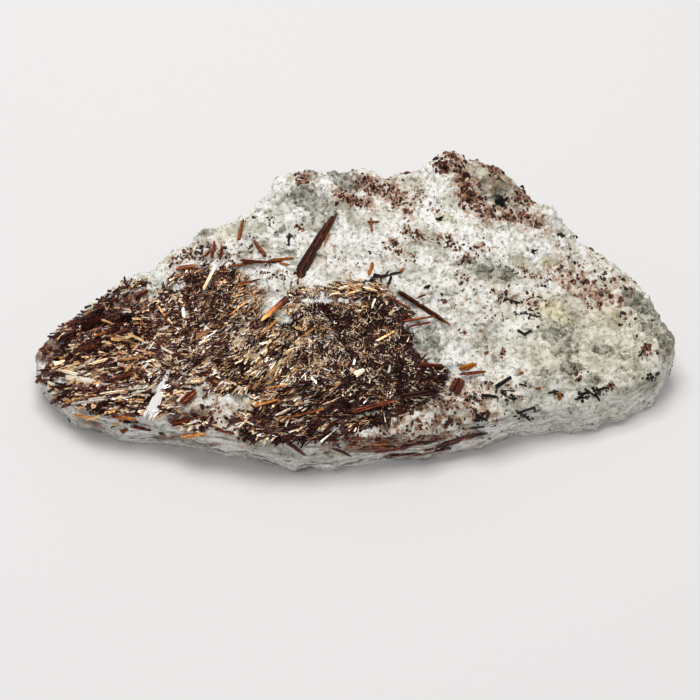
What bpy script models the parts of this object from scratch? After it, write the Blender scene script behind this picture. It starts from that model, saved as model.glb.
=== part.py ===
"""Astrophyllite specimen: white feldspar rock with a felted mass of bronze-brown astrophyllite blades.

The stone lies on its broken underside. +X runs along its length, +Y to the high edge at the back, +Z up,
and the origin is under the middle of its outline, on the surface it lies on.
"""

import math
import random

import bmesh
import bpy
from mathutils import Matrix, Vector, noise
from mathutils.bvhtree import BVHTree

# Driving dimensions, in metres
MM = 0.001
GAP = 0.3 * MM  # left between two pieces that touch
ROCK_VOXEL = 1.15 * MM  # how finely the rock is broken up before it is thinned out
ROCK_TRIANGLES = 4300
LAYER_TRIANGLES = 3800  # of the whole layer surface, of which the blade mass takes a third
CORE_TRIANGLES = 900  # of the floor under the blade mass
FLOOR_GAP = 0.8 * MM  # under the blade mass
LAYER_DEPTH = 2.4 * MM  # of the blade mass, under the hull of corners
LAYER_EDGE_DEPTH = 5.0 * MM  # how far the blade mass shows down the broken sides
SEED = 7

# Relief, in mm: the size of each kind of bump and its height
BROAD_SWELL = (17.0, 1.0)
NARROW_SWELL = (7.5, 0.5)
ROCK_BLOCKS = [(7.5, 1.9), (3.6, 0.8)]
LAYER_BLOCKS = (5.0, 0.7)
FIBRE_LENGTH = 9.0
FIBRE_SPACING = 2.2
FIBRE_HEIGHT = 0.35
LAYER_RISE = 0.25  # of the blade mass over the rock around it

# The broken face is laid out as it is seen: millimetres to the right and up from the middle of the view,
# looking along +Y and down at this angle.
LOOK_DOWN = math.radians(50)
VIEW_MIDDLE = Vector((-1.2, -6.7, 9.4)) * MM
EYE_DISTANCE = 900 * MM
SEEN_RIGHT = Vector((1, 0, 0))
SEEN_UP = Vector((0, math.sin(LOOK_DOWN), math.cos(LOOK_DOWN)))
TO_EYE = Vector((0, -math.cos(LOOK_DOWN), math.sin(LOOK_DOWN)))
SIGHT_REACH = 40 * MM  # how far a solid with an outline of the view runs along the line of sight, each way

# Corners of the rock before it is roughened, in mm
SKYLINE = [
    (-60.0, -5.0, 6.5), (-42.5, 2.2, 14.0), (-28.6, 12.2, 21.0), (-13.5, 21.5, 26.0), (4.5, 21.8, 28.5),
    (17.5, 23.0, 29.8), (27.3, 22.4, 29.2), (33.0, 17.2, 27.4), (37.5, 12.6, 24.8), (45.3, 6.6, 20.8),
    (52.7, 1.4, 17.0), (58.6, -3.6, 12.0), (60.0, -6.5, 8.5),
]
FRONT_EDGE = [
    (-58.5, -11.5, 7.5), (-55.0, -15.2, 8.8), (-46.8, -19.6, 9.6), (-29.0, -25.6, 9.0), (-9.4, -28.3, 9.4),
    (-1.0, -28.6, 9.6), (12.0, -26.3, 9.6), (26.5, -22.6, 8.6), (38.0, -19.6, 8.6), (49.0, -15.6, 8.2),
    (56.0, -11.5, 8.4),
]
FACE_RIDGE = [
    (-30.0, -6.0, 16.4), (-8.0, -5.0, 19.4), (8.0, -2.0, 21.6), (24.0, 2.0, 22.2), (38.0, -14.0, 13.4),
    (50.0, -8.0, 13.6),
]
FRONT_BELT = [
    (-54.5, -18.6, 4.0), (-47.0, -20.6, 4.0), (-29.0, -24.8, 4.5), (-7.0, -28.6, 4.0), (1.0, -28.4, 4.0),
    (26.5, -22.4, 4.0), (49.0, -16.8, 4.0), (55.5, -13.0, 4.0),
]
FOOT_DEPTH = -3.0  # the corners of the foot lie below the surface, where the stone is cut off flat
FOOT = [
    (-52.0, -18.4), (-46.5, -18.8), (-28.0, -21.8), (-17.0, -24.2), (-6.6, -27.0), (1.0, -26.6),
    (26.5, -20.2), (38.0, -18.0), (49.0, -15.0), (54.0, -12.0), (57.0, -5.0), (53.0, 3.0), (43.0, 12.0),
    (30.0, 23.0), (18.0, 26.4), (3.0, 25.4), (-12.0, 23.4), (-26.0, 16.0), (-40.0, 6.0), (-54.0, -1.5),
    (-57.6, -8.0),
]
BACK_BELT = [
    (-46.0, 5.0, 7.0), (-30.0, 16.0, 10.0), (-12.0, 26.5, 13.0), (4.0, 27.6, 15.0), (18.0, 29.0, 14.0),
    (31.0, 25.0, 12.0), (44.0, 13.5, 11.0), (54.0, 3.5, 8.0),
]

# Lumps (+) and hollows (-) of the rock: place in mm, radius and height in mm
LUMPS = [
    ((17.2, 23.0, 30.0), 3.2, 2.0),
    ((-12.0, 20.5, 26.0), 5.0, 1.3),
    ((-28.2, 12.0, 21.0), 2.4, 1.1),
    ((8.5, 21.5, 28.6), 4.0, -2.3),
    ((-21.0, 17.5, 24.0), 5.0, -1.5),
    ((-34.5, 8.0, 18.4), 3.2, -0.9),
    ((33.5, 16.5, 26.8), 2.4, -0.8),
    ((41.5, 9.5, 22.6), 2.8, -0.9),
    ((-4.0, 14.0, 25.5), 7.0, 0.9),
    ((20.0, 4.0, 22.5), 8.0, 0.8),
    ((-44.0, -8.0, 12.8), 6.0, -0.9),
    ((-12.0, -16.0, 14.0), 7.0, 0.8),
    ((4.0, -12.0, 16.8), 6.0, -0.8),
    ((31.0, -16.0, 12.6), 4.0, 0.8),
    ((14.0, -19.0, 13.0), 3.4, 1.2),
    ((0.0, 28.0, 9.0), 9.0, -1.8),
    ((-36.0, 11.0, 6.0), 7.0, -1.4),
    ((37.0, 19.0, 8.0), 7.0, -1.5),
]

# Ledges of the broken face: start and end in plan, and height, in mm
LEDGES = [
    ((36.0, 5.0), (48.0, -4.0), 1.1),
    ((20.0, 16.0), (33.0, 10.0), 1.3),
    ((10.0, 3.0), (22.0, -8.0), 0.9),
    ((-20.0, 16.0), (-4.0, 18.0), 0.9),
    ((42.0, -10.0), (52.0, -9.0), 0.9),
    ((-2.0, 10.0), (7.0, 3.0), 0.8),
]
LEDGE_REACH = 9.0  # mm that the lower side takes to rise again
LEDGE_STEP = 0.9  # mm that a ledge takes to fall
LEDGE_FADE = 0.15  # how far a ledge runs out beyond each end, as a share of its length

# Outline of the blade mass on the face, clockwise from the left tip, in mm right and up from the middle of
# the view
MASS_OUTLINE = [
    (-61.5, 0.5), (-54.0, 7.0), (-46.5, 12.0), (-39.5, 15.0), (-35.5, 11.5), (-31.5, 15.5), (-25.0, 16.0),
    (-21.5, 14.0), (-16.0, 12.0), (-11.0, 11.0), (-3.5, 12.5), (5.5, 10.5), (11.5, 6.5), (15.5, 5.5),
    (12.0, 3.0), (12.5, -0.5), (18.0, -3.5), (16.5, -9.0), (11.5, -11.8), (-0.5, -15.4), (-8.0, -17.0),
    (-16.5, -16.6), (-28.0, -16.2), (-45.5, -10.6), (-54.3, -6.6), (-59.8, -2.6),
]

# Crystals that lie free in the rock. Each plate: start and end in mm right and up, width at the start and
# at the end, and thickness, in mm
PLATES = {
    "big_blade": ((-10.6, 11.6), (-2.8, 25.5), 1.9, 1.5, 0.9),
    "right_blade": ((8.6, 11.2), (19.0, 4.5), 1.0, 0.8, 0.6),
    "upright_blade": ((-21.0, 19.5), (-19.5, 24.0), 0.8, 0.6, 0.5),
    "short_blade": ((-18.0, 20.5), (-15.5, 17.2), 0.7, 0.9, 0.5),
    "lying_blade": ((-15.6, 15.4), (-10.2, 16.9), 0.9, 0.9, 0.5),
    "thin_needle": ((4.1, 21.8), (3.9, 24.6), 0.6, 0.5, 0.5),
    "orange_blade": ((3.6, 13.6), (4.5, 16.4), 0.7, 0.8, 0.5),
    "mica_block": ((19.2, -8.4), (20.6, -5.4), 2.6, 2.2, 1.2),
    "orange_flake": ((20.4, -3.6), (23.6, -3.0), 1.0, 1.2, 0.6),
}
PLATE_POINT = 0.55  # length of a plate's pointed end, as a share of its width
SEAT_POINT = 1.6  # how much more than the gap a plate's seat reaches out at the point
SEAT_SHOULDER = 0.4  # and the share of the gap that it moves by at the shoulders

# Each black group: its prisms' starts and ends in mm right and up, and their radius in mm
PRISMS = {
    "aegirine_pair": ([((31.2, 3.7), (32.8, 2.7)), ((32.2, 2.8), (35.2, 4.4))], 0.3),
    "aegirine_prism": ([((27.1, -6.9), (29.9, -5.1))], 0.55),
    "aegirine_streak": ([((24.6, -8.4), (31.0, -9.1)), ((27.0, -7.7), (30.4, -8.6))], 0.42),
    "aegirine_sprig": (
        [((43.4, -8.1), (47.6, -7.0)), ((45.0, -6.9), (46.4, -9.4)), ((43.6, -7.2), (46.0, -8.8))], 0.34),
    "aegirine_bundle": ([((23.4, -12.0), (25.6, -13.1)), ((23.8, -13.0), (25.0, -11.6))], 0.4),
    "dark_sprig": ([((4.6, 13.9), (10.0, 15.2)), ((8.0, 14.9), (7.4, 11.9))], 0.34),
}
PRISM_TAPER = 0.86  # width of a prism's far end, as a share of the near end
PRISM_RISE = 0.15  # how much higher each prism of a group lies than the last, as a share of its radius

# Blades joined on the mass: the middle of each field and its reach in mm, how they lie there (degrees from
# the right, turning up), how far that spreads, and how many
BLADE_FIELDS = [
    ((-48.0, 0.5), 9.0, 14, 22, 12),
    ((-38.0, 7.0), 8.0, 20, 28, 10),
    ((-34.0, -7.0), 8.0, 12, 30, 11),
    ((-25.0, 9.5), 7.0, 42, 25, 9),
    ((-17.0, -2.0), 7.0, 42, 22, 11),
    ((-10.0, -10.5), 7.0, 24, 20, 10),
    ((-4.0, 6.0), 8.0, 30, 50, 9),
    ((5.0, -3.0), 8.0, 20, 60, 10),
]
FIELD_SPREAD = (0.55, 0.42)  # how the reach spreads to the right and up
BLADE_HALF_LENGTH = (2.4, 4.8)  # mm
BLADE_WIDTH = (0.8, 1.5)  # mm
BLADE_THICKNESS = 0.8  # mm
BLADE_MARGIN = 1.2  # mm between a blade's end and the outline of the mass
BLADE_PROUD = (0.6, 1.25)  # share of its thickness that a blade stands out

# Long blades of the mass that show from a step away: start, end, widths, thickness
LONG_BLADES = [
    ((-37.2, -12.4), (-33.0, -3.6), 2.6, 0.8, 0.7),
    ((-39.8, -12.6), (-36.4, -7.4), 0.9, 0.9, 0.6),
    ((-31.4, -10.4), (-28.6, -7.4), 1.4, 1.2, 0.7),
    ((-17.6, 4.0), (-12.2, 9.2), 1.0, 1.1, 0.7),
    ((-57.0, 1.6), (-46.0, 5.6), 1.3, 1.0, 0.8),
    ((-53.0, -3.6), (-41.0, -1.4), 1.2, 0.9, 0.7),
    ((-47.0, 7.4), (-38.0, 11.6), 1.1, 1.0, 0.7),
]


def clear_scene():
    for thing in list(bpy.data.objects):
        bpy.data.objects.remove(thing, do_unlink=True)


def new_collection(name):
    collection = bpy.data.collections.new(name)
    bpy.context.scene.collection.children.link(collection)
    return collection


def material(name, colour, roughness, metallic=0.0):
    """A Principled BSDF of one finish. The colour is linear."""
    finish = bpy.data.materials.new(name)
    finish.use_nodes = True
    finish.diffuse_color = (*colour, 1)
    shader = finish.node_tree.nodes["Principled BSDF"]
    shader.inputs["Base Color"].default_value = (*colour, 1)
    shader.inputs["Roughness"].default_value = roughness
    shader.inputs["Metallic"].default_value = metallic
    return finish


def object_from(work, name, collection):
    """Turns a bmesh into an object."""
    mesh = bpy.data.meshes.new(name)
    work.to_mesh(mesh)
    work.free()
    thing = bpy.data.objects.new(name, mesh)
    collection.objects.link(thing)
    return thing


def settle(thing):
    """Applies an object's modifiers for good, so that its mesh is what it looks like."""
    bpy.context.view_layer.update()
    seen = thing.evaluated_get(bpy.context.evaluated_depsgraph_get())
    mesh = bpy.data.meshes.new_from_object(seen)
    thing.modifiers.clear()
    thing.data = mesh
    return thing


def boolean(thing, other, operation):
    """Joins, cuts or intersects an object with another one."""
    step = thing.modifiers.new(operation.title(), "BOOLEAN")
    step.operation = operation
    step.solver = "EXACT"
    step.object = other
    return settle(thing)


def copy_of(thing, name, collection):
    twin = bpy.data.objects.new(name, thing.data.copy())
    collection.objects.link(twin)
    return twin


def even_out(thing, voxel):
    """Rebuilds a solid with an even mesh, which also closes creases that run into themselves."""
    step = thing.modifiers.new("Even out", "REMESH")
    step.mode = "VOXEL"
    step.voxel_size = voxel
    return settle(thing)


def thin_out(thing, triangles):
    """Joins small faces until about this many triangles are left."""
    now = sum(len(face.vertices) - 2 for face in thing.data.polygons)
    step = thing.modifiers.new("Thin out", "DECIMATE")
    step.ratio = min(1.0, triangles / now)
    step.use_collapse_triangulate = True
    return settle(thing)


def move_out(thing, lift):
    """Moves each point of a mesh along its normal by lift(point)."""
    moves = [point.normal * lift(point.co) for point in thing.data.vertices]
    for point, move in zip(thing.data.vertices, moves):
        point.co += move
    thing.data.update()
    return thing


def cut_by_plane(thing, point, normal):
    """Keeps what lies on the side of a plane that its normal points to, and closes the cut."""
    work = bmesh.new()
    work.from_mesh(thing.data)
    everything = work.verts[:] + work.edges[:] + work.faces[:]
    cut = bmesh.ops.bisect_plane(work, geom=everything, plane_co=point, plane_no=normal, clear_inner=True)
    rim = [piece for piece in cut["geom_cut"] if isinstance(piece, bmesh.types.BMEdge)]
    bmesh.ops.contextual_create(work, geom=rim)
    bmesh.ops.recalc_face_normals(work, faces=work.faces)
    bmesh.ops.triangulate(work, faces=[face for face in work.faces if len(face.verts) > 4])
    work.to_mesh(thing.data)
    work.free()
    return thing


def keep_largest(thing):
    """Drops the crumbs that a cut leaves beside the main body."""
    work = bmesh.new()
    work.from_mesh(thing.data)
    bodies = []
    unseen = set(work.verts)
    while unseen:
        body = set()
        edge = [unseen.pop()]
        while edge:
            point = edge.pop()
            body.add(point)
            for side in point.link_edges:
                other = side.other_vert(point)
                if other in unseen:
                    unseen.discard(other)
                    edge.append(other)
        bodies.append(body)
    bodies.sort(key=len)
    for body in bodies[:-1]:
        bmesh.ops.delete(work, geom=list(body), context="VERTS")
    work.to_mesh(thing.data)
    work.free()
    return thing


def swell(spot):
    """The broad swell of the stone at a spot in mm, which the rock and the blade mass share."""
    rise = BROAD_SWELL[1] * noise.noise(spot / BROAD_SWELL[0])
    rise += NARROW_SWELL[1] * noise.noise(spot / NARROW_SWELL[0] + Vector((31, 5, 2)))
    for middle, radius, height in LUMPS:
        rise += height * math.exp(-((spot - Vector(middle)).length / radius) ** 2)
    return rise


def block_tilt(spot, size, height):
    """Broken blocks of one size: each has a face of its own tilt, with a small ledge to the next."""
    shifted = spot / size + Vector((9, 9, 9))
    centre = noise.voronoi(shifted)[1][0]
    tilt = Vector(noise.noise(centre * 3.1 + Vector((17 * axis, 0, 0))) for axis in range(3))
    return height * 1.6 * tilt.dot(shifted - centre)


def ledge_drop(spot):
    """Small steps of the broken face: the rock is lower on the right of each ledge, seen along it."""
    drop = 0.0
    for start, end, height in LEDGES:
        run = Vector(end) - Vector(start)
        away = Vector((spot.x, spot.y)) - Vector(start)
        along = away.dot(run) / run.length_squared
        across = (away.x * run.y - away.y * run.x) / run.length
        into = min(along + LEDGE_FADE, 1 + LEDGE_FADE - along)
        if into > 0 and 0 < across < LEDGE_REACH:
            full = min(1.0, into / (2 * LEDGE_FADE)) * min(1.0, across / LEDGE_STEP)
            drop -= height * full * (1 - across / LEDGE_REACH)
    return drop


def rock_lift(place):
    spot = place / MM
    blocks = sum(block_tilt(spot, size, height) for size, height in ROCK_BLOCKS)
    return (swell(spot) + blocks + ledge_drop(spot)) * MM


def layer_lift(place):
    spot = place / MM
    along = Vector((spot.x / FIBRE_LENGTH, spot.y / FIBRE_SPACING, spot.z / FIBRE_SPACING))
    fibres = FIBRE_HEIGHT * noise.noise(along)
    return (swell(spot) + block_tilt(spot, *LAYER_BLOCKS) + fibres + LAYER_RISE) * MM


def corner_hull(collection):
    """The stone as a hull of its corners, evenly meshed, before it is roughened."""
    work = bmesh.new()
    foot = [(x, y, FOOT_DEPTH) for x, y in FOOT]
    for corner in SKYLINE + FRONT_EDGE + FACE_RIDGE + FRONT_BELT + foot + BACK_BELT:
        work.verts.new(Vector(corner) * MM)
    hull = bmesh.ops.convex_hull(work, input=work.verts)
    unused = [piece for piece in hull["geom_interior"] if isinstance(piece, bmesh.types.BMVert)]
    bmesh.ops.delete(work, geom=unused, context="VERTS")
    bmesh.ops.recalc_face_normals(work, faces=work.faces)
    return even_out(object_from(work, "corner_hull", collection), ROCK_VOXEL)


def rough_solid(hull, lift, triangles, name, collection):
    """The hull with a rough surface, cut flat where the stone lies."""
    solid = move_out(copy_of(hull, name, collection), lift)
    even_out(solid, ROCK_VOXEL)
    thin_out(solid, triangles)
    cut_by_plane(solid, (0, 0, 0), (0, 0, 1))
    return keep_largest(solid)


def sunk_hull(hull, depth, name, collection):
    """The hull moved in by a depth, in few faces."""
    sunk = move_out(copy_of(hull, name, collection), lambda place: -depth)
    return thin_out(even_out(sunk, ROCK_VOXEL), CORE_TRIANGLES)


def seen_place(right, up):
    """The point of the view's plane that is seen this many mm right and up from its middle."""
    return VIEW_MIDDLE + (SEEN_RIGHT * right + SEEN_UP * up) * MM


def surface_tree(thing):
    work = bmesh.new()
    work.from_mesh(thing.data)
    tree = BVHTree.FromBMesh(work)
    work.free()
    return tree


def seat(tree, right, up):
    """Where the line of sight through a place of the view meets a surface, and the normal there."""
    eye = VIEW_MIDDLE + TO_EYE * EYE_DISTANCE
    spot, normal, face, distance = tree.ray_cast(eye, (seen_place(right, up) - eye).normalized())
    return (spot, normal) if spot else (None, None)


def seat_along(tree, near, far):
    """The seats of both ends of a crystal, their normal, and how far the rock humps up between them."""
    start, normal = seat(tree, *near)
    end, end_normal = seat(tree, *far)
    normal = (normal + end_normal).normalized()
    hump = 0.0
    for share in (0.25, 0.5, 0.75):
        between = seat(tree, *Vector(near).lerp(Vector(far), share))[0]
        hump = max(hump, (between - start.lerp(end, share)).dot(normal))
    return start, end, normal, hump


def inset(outline, step):
    """An outline moved inwards by a step, corner by corner. The outline runs clockwise."""
    moved = []
    for index, corner in enumerate(outline):
        before = Vector(outline[index - 1])
        after = Vector(outline[(index + 1) % len(outline)])
        along = (after - before).normalized()
        moved.append((corner[0] + along.y * step, corner[1] - along.x * step))
    return moved


def seen_prism(outline, name, collection):
    """A solid with this outline of the view, which runs along the line of sight."""
    curve = bpy.data.curves.new(name, "CURVE")
    curve.dimensions = "2D"
    curve.fill_mode = "BOTH"
    curve.extrude = SIGHT_REACH
    spline = curve.splines.new("POLY")
    spline.points.add(len(outline) - 1)
    for point, (right, up) in zip(spline.points, outline):
        point.co = (right * MM, up * MM, 0, 1)
    spline.use_cyclic_u = True
    drawn = bpy.data.objects.new(name, curve)
    collection.objects.link(drawn)
    frame = Matrix((SEEN_RIGHT, SEEN_UP, TO_EYE)).transposed().to_4x4()
    frame.translation = VIEW_MIDDLE
    bpy.context.view_layer.update()
    mesh = bpy.data.meshes.new_from_object(drawn.evaluated_get(bpy.context.evaluated_depsgraph_get()))
    bpy.data.objects.remove(drawn, do_unlink=True)
    work = bmesh.new()
    work.from_mesh(mesh)
    bmesh.ops.transform(work, matrix=frame, verts=work.verts)
    bmesh.ops.remove_doubles(work, verts=work.verts, dist=0.01 * MM)
    bmesh.ops.recalc_face_normals(work, faces=work.faces)
    return object_from(work, name, collection)


def layer_block(outline, depth, name, collection):
    """The space that the blade mass takes: its outline as seen, down to a plane under the broken face."""
    left, front, back = (Vector(corner) * MM for corner in (FRONT_EDGE[1], FRONT_EDGE[4], SKYLINE[3]))
    normal = (front - left).cross(back - left).normalized()
    return cut_by_plane(seen_prism(outline, name, collection), left - normal * depth, normal)


def hidden_cutters(cutters):
    for thing in cutters.objects:
        thing.hide_render = True
        thing.display_type = "WIRE"


def plate_shape(length, start_width, end_width, thickness, grow=0.0):
    """A flat crystal along X from its start: six corners, pointed ends. Grown on all sides for its seat."""
    point = PLATE_POINT * min(start_width, end_width)
    near = point - grow * SEAT_SHOULDER
    far = length - near
    start_half = start_width / 2 + grow
    end_half = end_width / 2 + grow
    corners = [
        (-grow * SEAT_POINT, 0), (near, -start_half), (far, -end_half),
        (length + grow * SEAT_POINT, 0), (far, end_half), (near, start_half),
    ]
    work = bmesh.new()
    bmesh.ops.create_circle(work, cap_ends=True, segments=len(corners), radius=MM)
    by_angle = sorted(work.verts, key=lambda vert: math.atan2(-vert.co.y, -vert.co.x))
    for vert, (x, y) in zip(by_angle, corners):
        vert.co = Vector((x, y, -thickness / 2 - grow))
    sides = bmesh.ops.extrude_face_region(work, geom=work.faces[:])["geom"]
    top = [piece for piece in sides if isinstance(piece, bmesh.types.BMVert)]
    bmesh.ops.translate(work, verts=top, vec=(0, 0, thickness + 2 * grow))
    bmesh.ops.recalc_face_normals(work, faces=work.faces)
    return work


def lie_along(work, start, end, normal, lift):
    """Lays a crystal that was made along X from start to end, its flat side to the normal, and lifts it."""
    along = (end - start).normalized()
    across = normal.cross(along).normalized()
    frame = Matrix((along, across, along.cross(across))).transposed().to_4x4()
    frame.translation = start + frame.to_3x3() @ Vector((0, 0, lift))
    bmesh.ops.transform(work, matrix=frame, verts=work.verts)
    return work


def seated_plate(tree, plate, name, collection, grow=0.0, proud=0.5):
    """A plate crystal lying in a surface, proud of it by a share of its thickness."""
    start, end, normal, hump = seat_along(tree, *plate[:2])
    start_width, end_width, thickness = (size * MM for size in plate[2:])
    work = plate_shape((end - start).length, start_width, end_width, thickness, grow)
    lie_along(work, start, end, normal, thickness * (proud - 0.5) + hump)
    return object_from(work, name, collection)


def seated_prisms(tree, group, name, collection, grow=0.0):
    """Black six-sided prisms that cross, joined in one solid and lying in a surface."""
    ends, radius = group
    whole = None
    for number, (near, far) in enumerate(ends):
        start, end, normal, hump = seat_along(tree, near, far)
        length = (end - start).length + 2 * grow
        across = radius * MM + grow
        work = bmesh.new()
        bmesh.ops.create_cone(
            work, cap_ends=True, segments=6, radius1=across, radius2=across * PRISM_TAPER, depth=length)
        turn = Matrix.Translation((length / 2 - grow, 0, 0)) @ Matrix.Rotation(math.pi / 2, 4, "Y")
        bmesh.ops.transform(work, matrix=turn, verts=work.verts)
        lie_along(work, start, end, normal, hump + radius * MM * PRISM_RISE * (1 + number))
        prism = object_from(work, f"{name}_{number}" if whole else name, collection)
        if whole:
            boolean(whole, prism, "UNION")
            bpy.data.objects.remove(prism, do_unlink=True)
        else:
            whole = prism
    return whole


def blade_plan():
    """The plates of the mass: the long ones by name of place, the rest strewn by field."""
    plan = list(LONG_BLADES)
    for middle, spread, lie, turn, count in BLADE_FIELDS:
        for _ in range(count):
            right = middle[0] + random.gauss(0, spread * FIELD_SPREAD[0])
            up = middle[1] + random.gauss(0, spread * FIELD_SPREAD[1])
            angle = math.radians(lie + random.uniform(-turn, turn))
            half = random.uniform(*BLADE_HALF_LENGTH)
            step = (half * math.cos(angle), half * math.sin(angle))
            ends = ((right - step[0], up - step[1]), (right + step[0], up + step[1]))
            width = random.uniform(*BLADE_WIDTH)
            plan.append((*ends, width, width, BLADE_THICKNESS))
    return plan


def inside(outline, right, up):
    """Whether a place of the view is within an outline."""
    odd = False
    for (x0, y0), (x1, y1) in zip(outline, outline[1:] + outline[:1]):
        if (y0 > up) != (y1 > up) and right < (x1 - x0) * (up - y0) / (y1 - y0) + x0:
            odd = not odd
    return odd


def add_blades(mass, tree, collection):
    """Joins the strewn blades on the mass, each a little tilted out of it."""
    outline = inset(MASS_OUTLINE, BLADE_MARGIN)
    for number, plate in enumerate(blade_plan()):
        if not (inside(outline, *plate[0]) and inside(outline, *plate[1])):
            continue
        if seat(tree, *plate[0])[0] is None or seat(tree, *plate[1])[0] is None:
            continue
        blade = seated_plate(tree, plate, f"blade_{number}", collection, proud=random.uniform(*BLADE_PROUD))
        boolean(mass, blade, "UNION")
        bpy.data.objects.remove(blade, do_unlink=True)
    return keep_largest(mass)


def main():
    clear_scene()
    random.seed(SEED)
    specimen = new_collection("astrophyllite_specimen")
    cutters = new_collection("cutters")
    rock_finish = material("feldspar_rock", (0.66, 0.64, 0.58), 0.6)
    bronze_finish = material("astrophyllite", (0.12, 0.05, 0.02), 0.35, 0.2)
    black_finish = material("aegirine", (0.012, 0.014, 0.012), 0.25)
    orange_finish = material("orange_astrophyllite", (0.45, 0.16, 0.03), 0.35)

    hull = corner_hull(cutters)
    rock = rough_solid(hull, rock_lift, ROCK_TRIANGLES, "matrix", specimen)
    rock.data.materials.append(rock_finish)
    rock_surface = surface_tree(rock)

    # The pocket, and the mass in it with a gap all round
    layer = rough_solid(hull, layer_lift, LAYER_TRIANGLES, "layer", cutters)
    core = sunk_hull(hull, LAYER_DEPTH, "core", cutters)
    pocket_floor = sunk_hull(hull, LAYER_DEPTH + FLOOR_GAP, "pocket_floor", cutters)
    pocket = layer_block(inset(MASS_OUTLINE, -GAP / MM), LAYER_EDGE_DEPTH + GAP, "pocket", cutters)
    boolean(pocket, pocket_floor, "DIFFERENCE")
    boolean(rock, pocket, "DIFFERENCE")
    keep_largest(rock)
    mass = layer_block(MASS_OUTLINE, LAYER_EDGE_DEPTH, "blade_mass", specimen)
    boolean(mass, layer, "INTERSECT")
    boolean(mass, core, "DIFFERENCE")
    keep_largest(mass)
    add_blades(mass, surface_tree(layer), cutters)
    boolean(mass, layer_block(MASS_OUTLINE, LAYER_EDGE_DEPTH, "mass_bounds", cutters), "INTERSECT")
    boolean(mass, sunk_hull(hull, LAYER_DEPTH + FLOOR_GAP / 2, "blade_stop", cutters), "DIFFERENCE")
    keep_largest(mass)
    mass.data.materials.clear()
    mass.data.materials.append(bronze_finish)

    # Crystals that lie free in the rock, each in a seat that is cut for it
    for name, plate in PLATES.items():
        seated_plate(rock_surface, plate, name, specimen).data.materials.append(
            orange_finish if "orange" in name else bronze_finish)
        seated_plate(rock_surface, plate, f"{name}_seat", cutters, grow=GAP)
    for name, group in PRISMS.items():
        seated_prisms(rock_surface, group, name, specimen).data.materials.append(black_finish)
        seated_prisms(rock_surface, group, f"{name}_seat", cutters, grow=GAP)
    for name in list(PLATES) + list(PRISMS):
        boolean(rock, cutters.objects[f"{name}_seat"], "DIFFERENCE")
    keep_largest(rock)
    hidden_cutters(cutters)


main()
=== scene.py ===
# %% [markdown]
# # Astrophyllite specimen: how the stone looks
#
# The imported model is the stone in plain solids: a block of white feldspar rock, the mass of astrophyllite
# blades that sits in it, and a few crystals that lie free. This script builds what one sees from a step
# away on and around those solids, in the same coordinates: +X along the stone, +Y to its high back, +Z up,
# the stone lying on its broken underside at height 0.
#
# The steps are: a fine closed skin over the solids, broken grains as relief on it, the felt of blades as
# thousands of small flat crystals that follow the flow seen in the picture, then grains, free crystals,
# finishes, light and camera.

# %% The frame
import math
import random

import bmesh
import bpy
import numpy as np
from mathutils import Matrix, Vector
from mathutils.bvhtree import BVHTree


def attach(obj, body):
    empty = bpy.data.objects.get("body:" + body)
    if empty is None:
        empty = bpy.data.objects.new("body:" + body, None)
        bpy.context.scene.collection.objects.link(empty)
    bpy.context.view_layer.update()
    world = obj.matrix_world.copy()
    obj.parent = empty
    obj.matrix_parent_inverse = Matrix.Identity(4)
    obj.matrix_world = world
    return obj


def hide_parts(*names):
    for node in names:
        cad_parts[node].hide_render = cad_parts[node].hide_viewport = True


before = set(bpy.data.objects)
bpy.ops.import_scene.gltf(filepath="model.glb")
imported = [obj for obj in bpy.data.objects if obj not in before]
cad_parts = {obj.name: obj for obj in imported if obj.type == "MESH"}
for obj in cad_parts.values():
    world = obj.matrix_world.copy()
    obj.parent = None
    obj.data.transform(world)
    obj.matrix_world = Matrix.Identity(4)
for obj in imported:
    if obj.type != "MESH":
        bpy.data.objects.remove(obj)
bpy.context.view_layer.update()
random.seed(11)
dice = np.random.default_rng(11)

# %% [markdown]
# ## Places as the picture shows them
#
# The stone is seen along +Y, looking down at 50 degrees. Marks on its face are placed by where they are
# seen: points of a picture 700 wide and high, x to the right and y down, 5.375 points to a millimetre in
# the plane through the middle of the stone. One could place each mark by its x, y and z, but a place in the
# picture lands where it belongs also on a slope: it is cast along the line of sight until it meets the
# stone.

# %% The view
MM = 0.001
LOOK_DOWN = math.radians(50)
VIEW_MIDDLE = Vector((-1.2, -6.7, 9.4)) * MM
EYE_DISTANCE = 0.9
PICTURE = 700
POINTS_PER_MM = 5.375
RIGHT = Vector((1, 0, 0))
UP = Vector((0, math.sin(LOOK_DOWN), math.cos(LOOK_DOWN)))
TO_EYE = Vector((0, -math.cos(LOOK_DOWN), math.sin(LOOK_DOWN)))
EYE = VIEW_MIDDLE + TO_EYE * EYE_DISTANCE
print("eye in mm:", [round(value / MM) for value in EYE])


def sight(x, y):
    """The direction from the eye through a point of the picture."""
    right = (x - PICTURE / 2) / POINTS_PER_MM * MM
    up = (PICTURE / 2 - y) / POINTS_PER_MM * MM
    return (VIEW_MIDDLE + RIGHT * right + UP * up - EYE).normalized()


def in_picture(spots):
    """Where spots (rows of x, y, z in metres) are seen in the picture: rows of x and y."""
    away = spots - np.array(EYE)
    depth = -away @ np.array(TO_EYE)
    points = EYE_DISTANCE / MM * POINTS_PER_MM / depth
    across = PICTURE / 2 + away @ np.array(RIGHT) * points
    down = PICTURE / 2 - away @ np.array(UP) * points
    return np.stack([across, down], axis=1)


# %% [markdown]
# ## Noise
#
# Two kinds of noise make all the relief: a soft one for swells and stripes, and a broken one that splits
# space into cells, each with a face of its own tilt, as grains and cleavage chips have. Both are worked out
# from whole numbers, so each run gives the same stone. Blender's own textures could do this in a modifier,
# but worked out here the same noise serves relief, marks and the lie of the blades.


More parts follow.
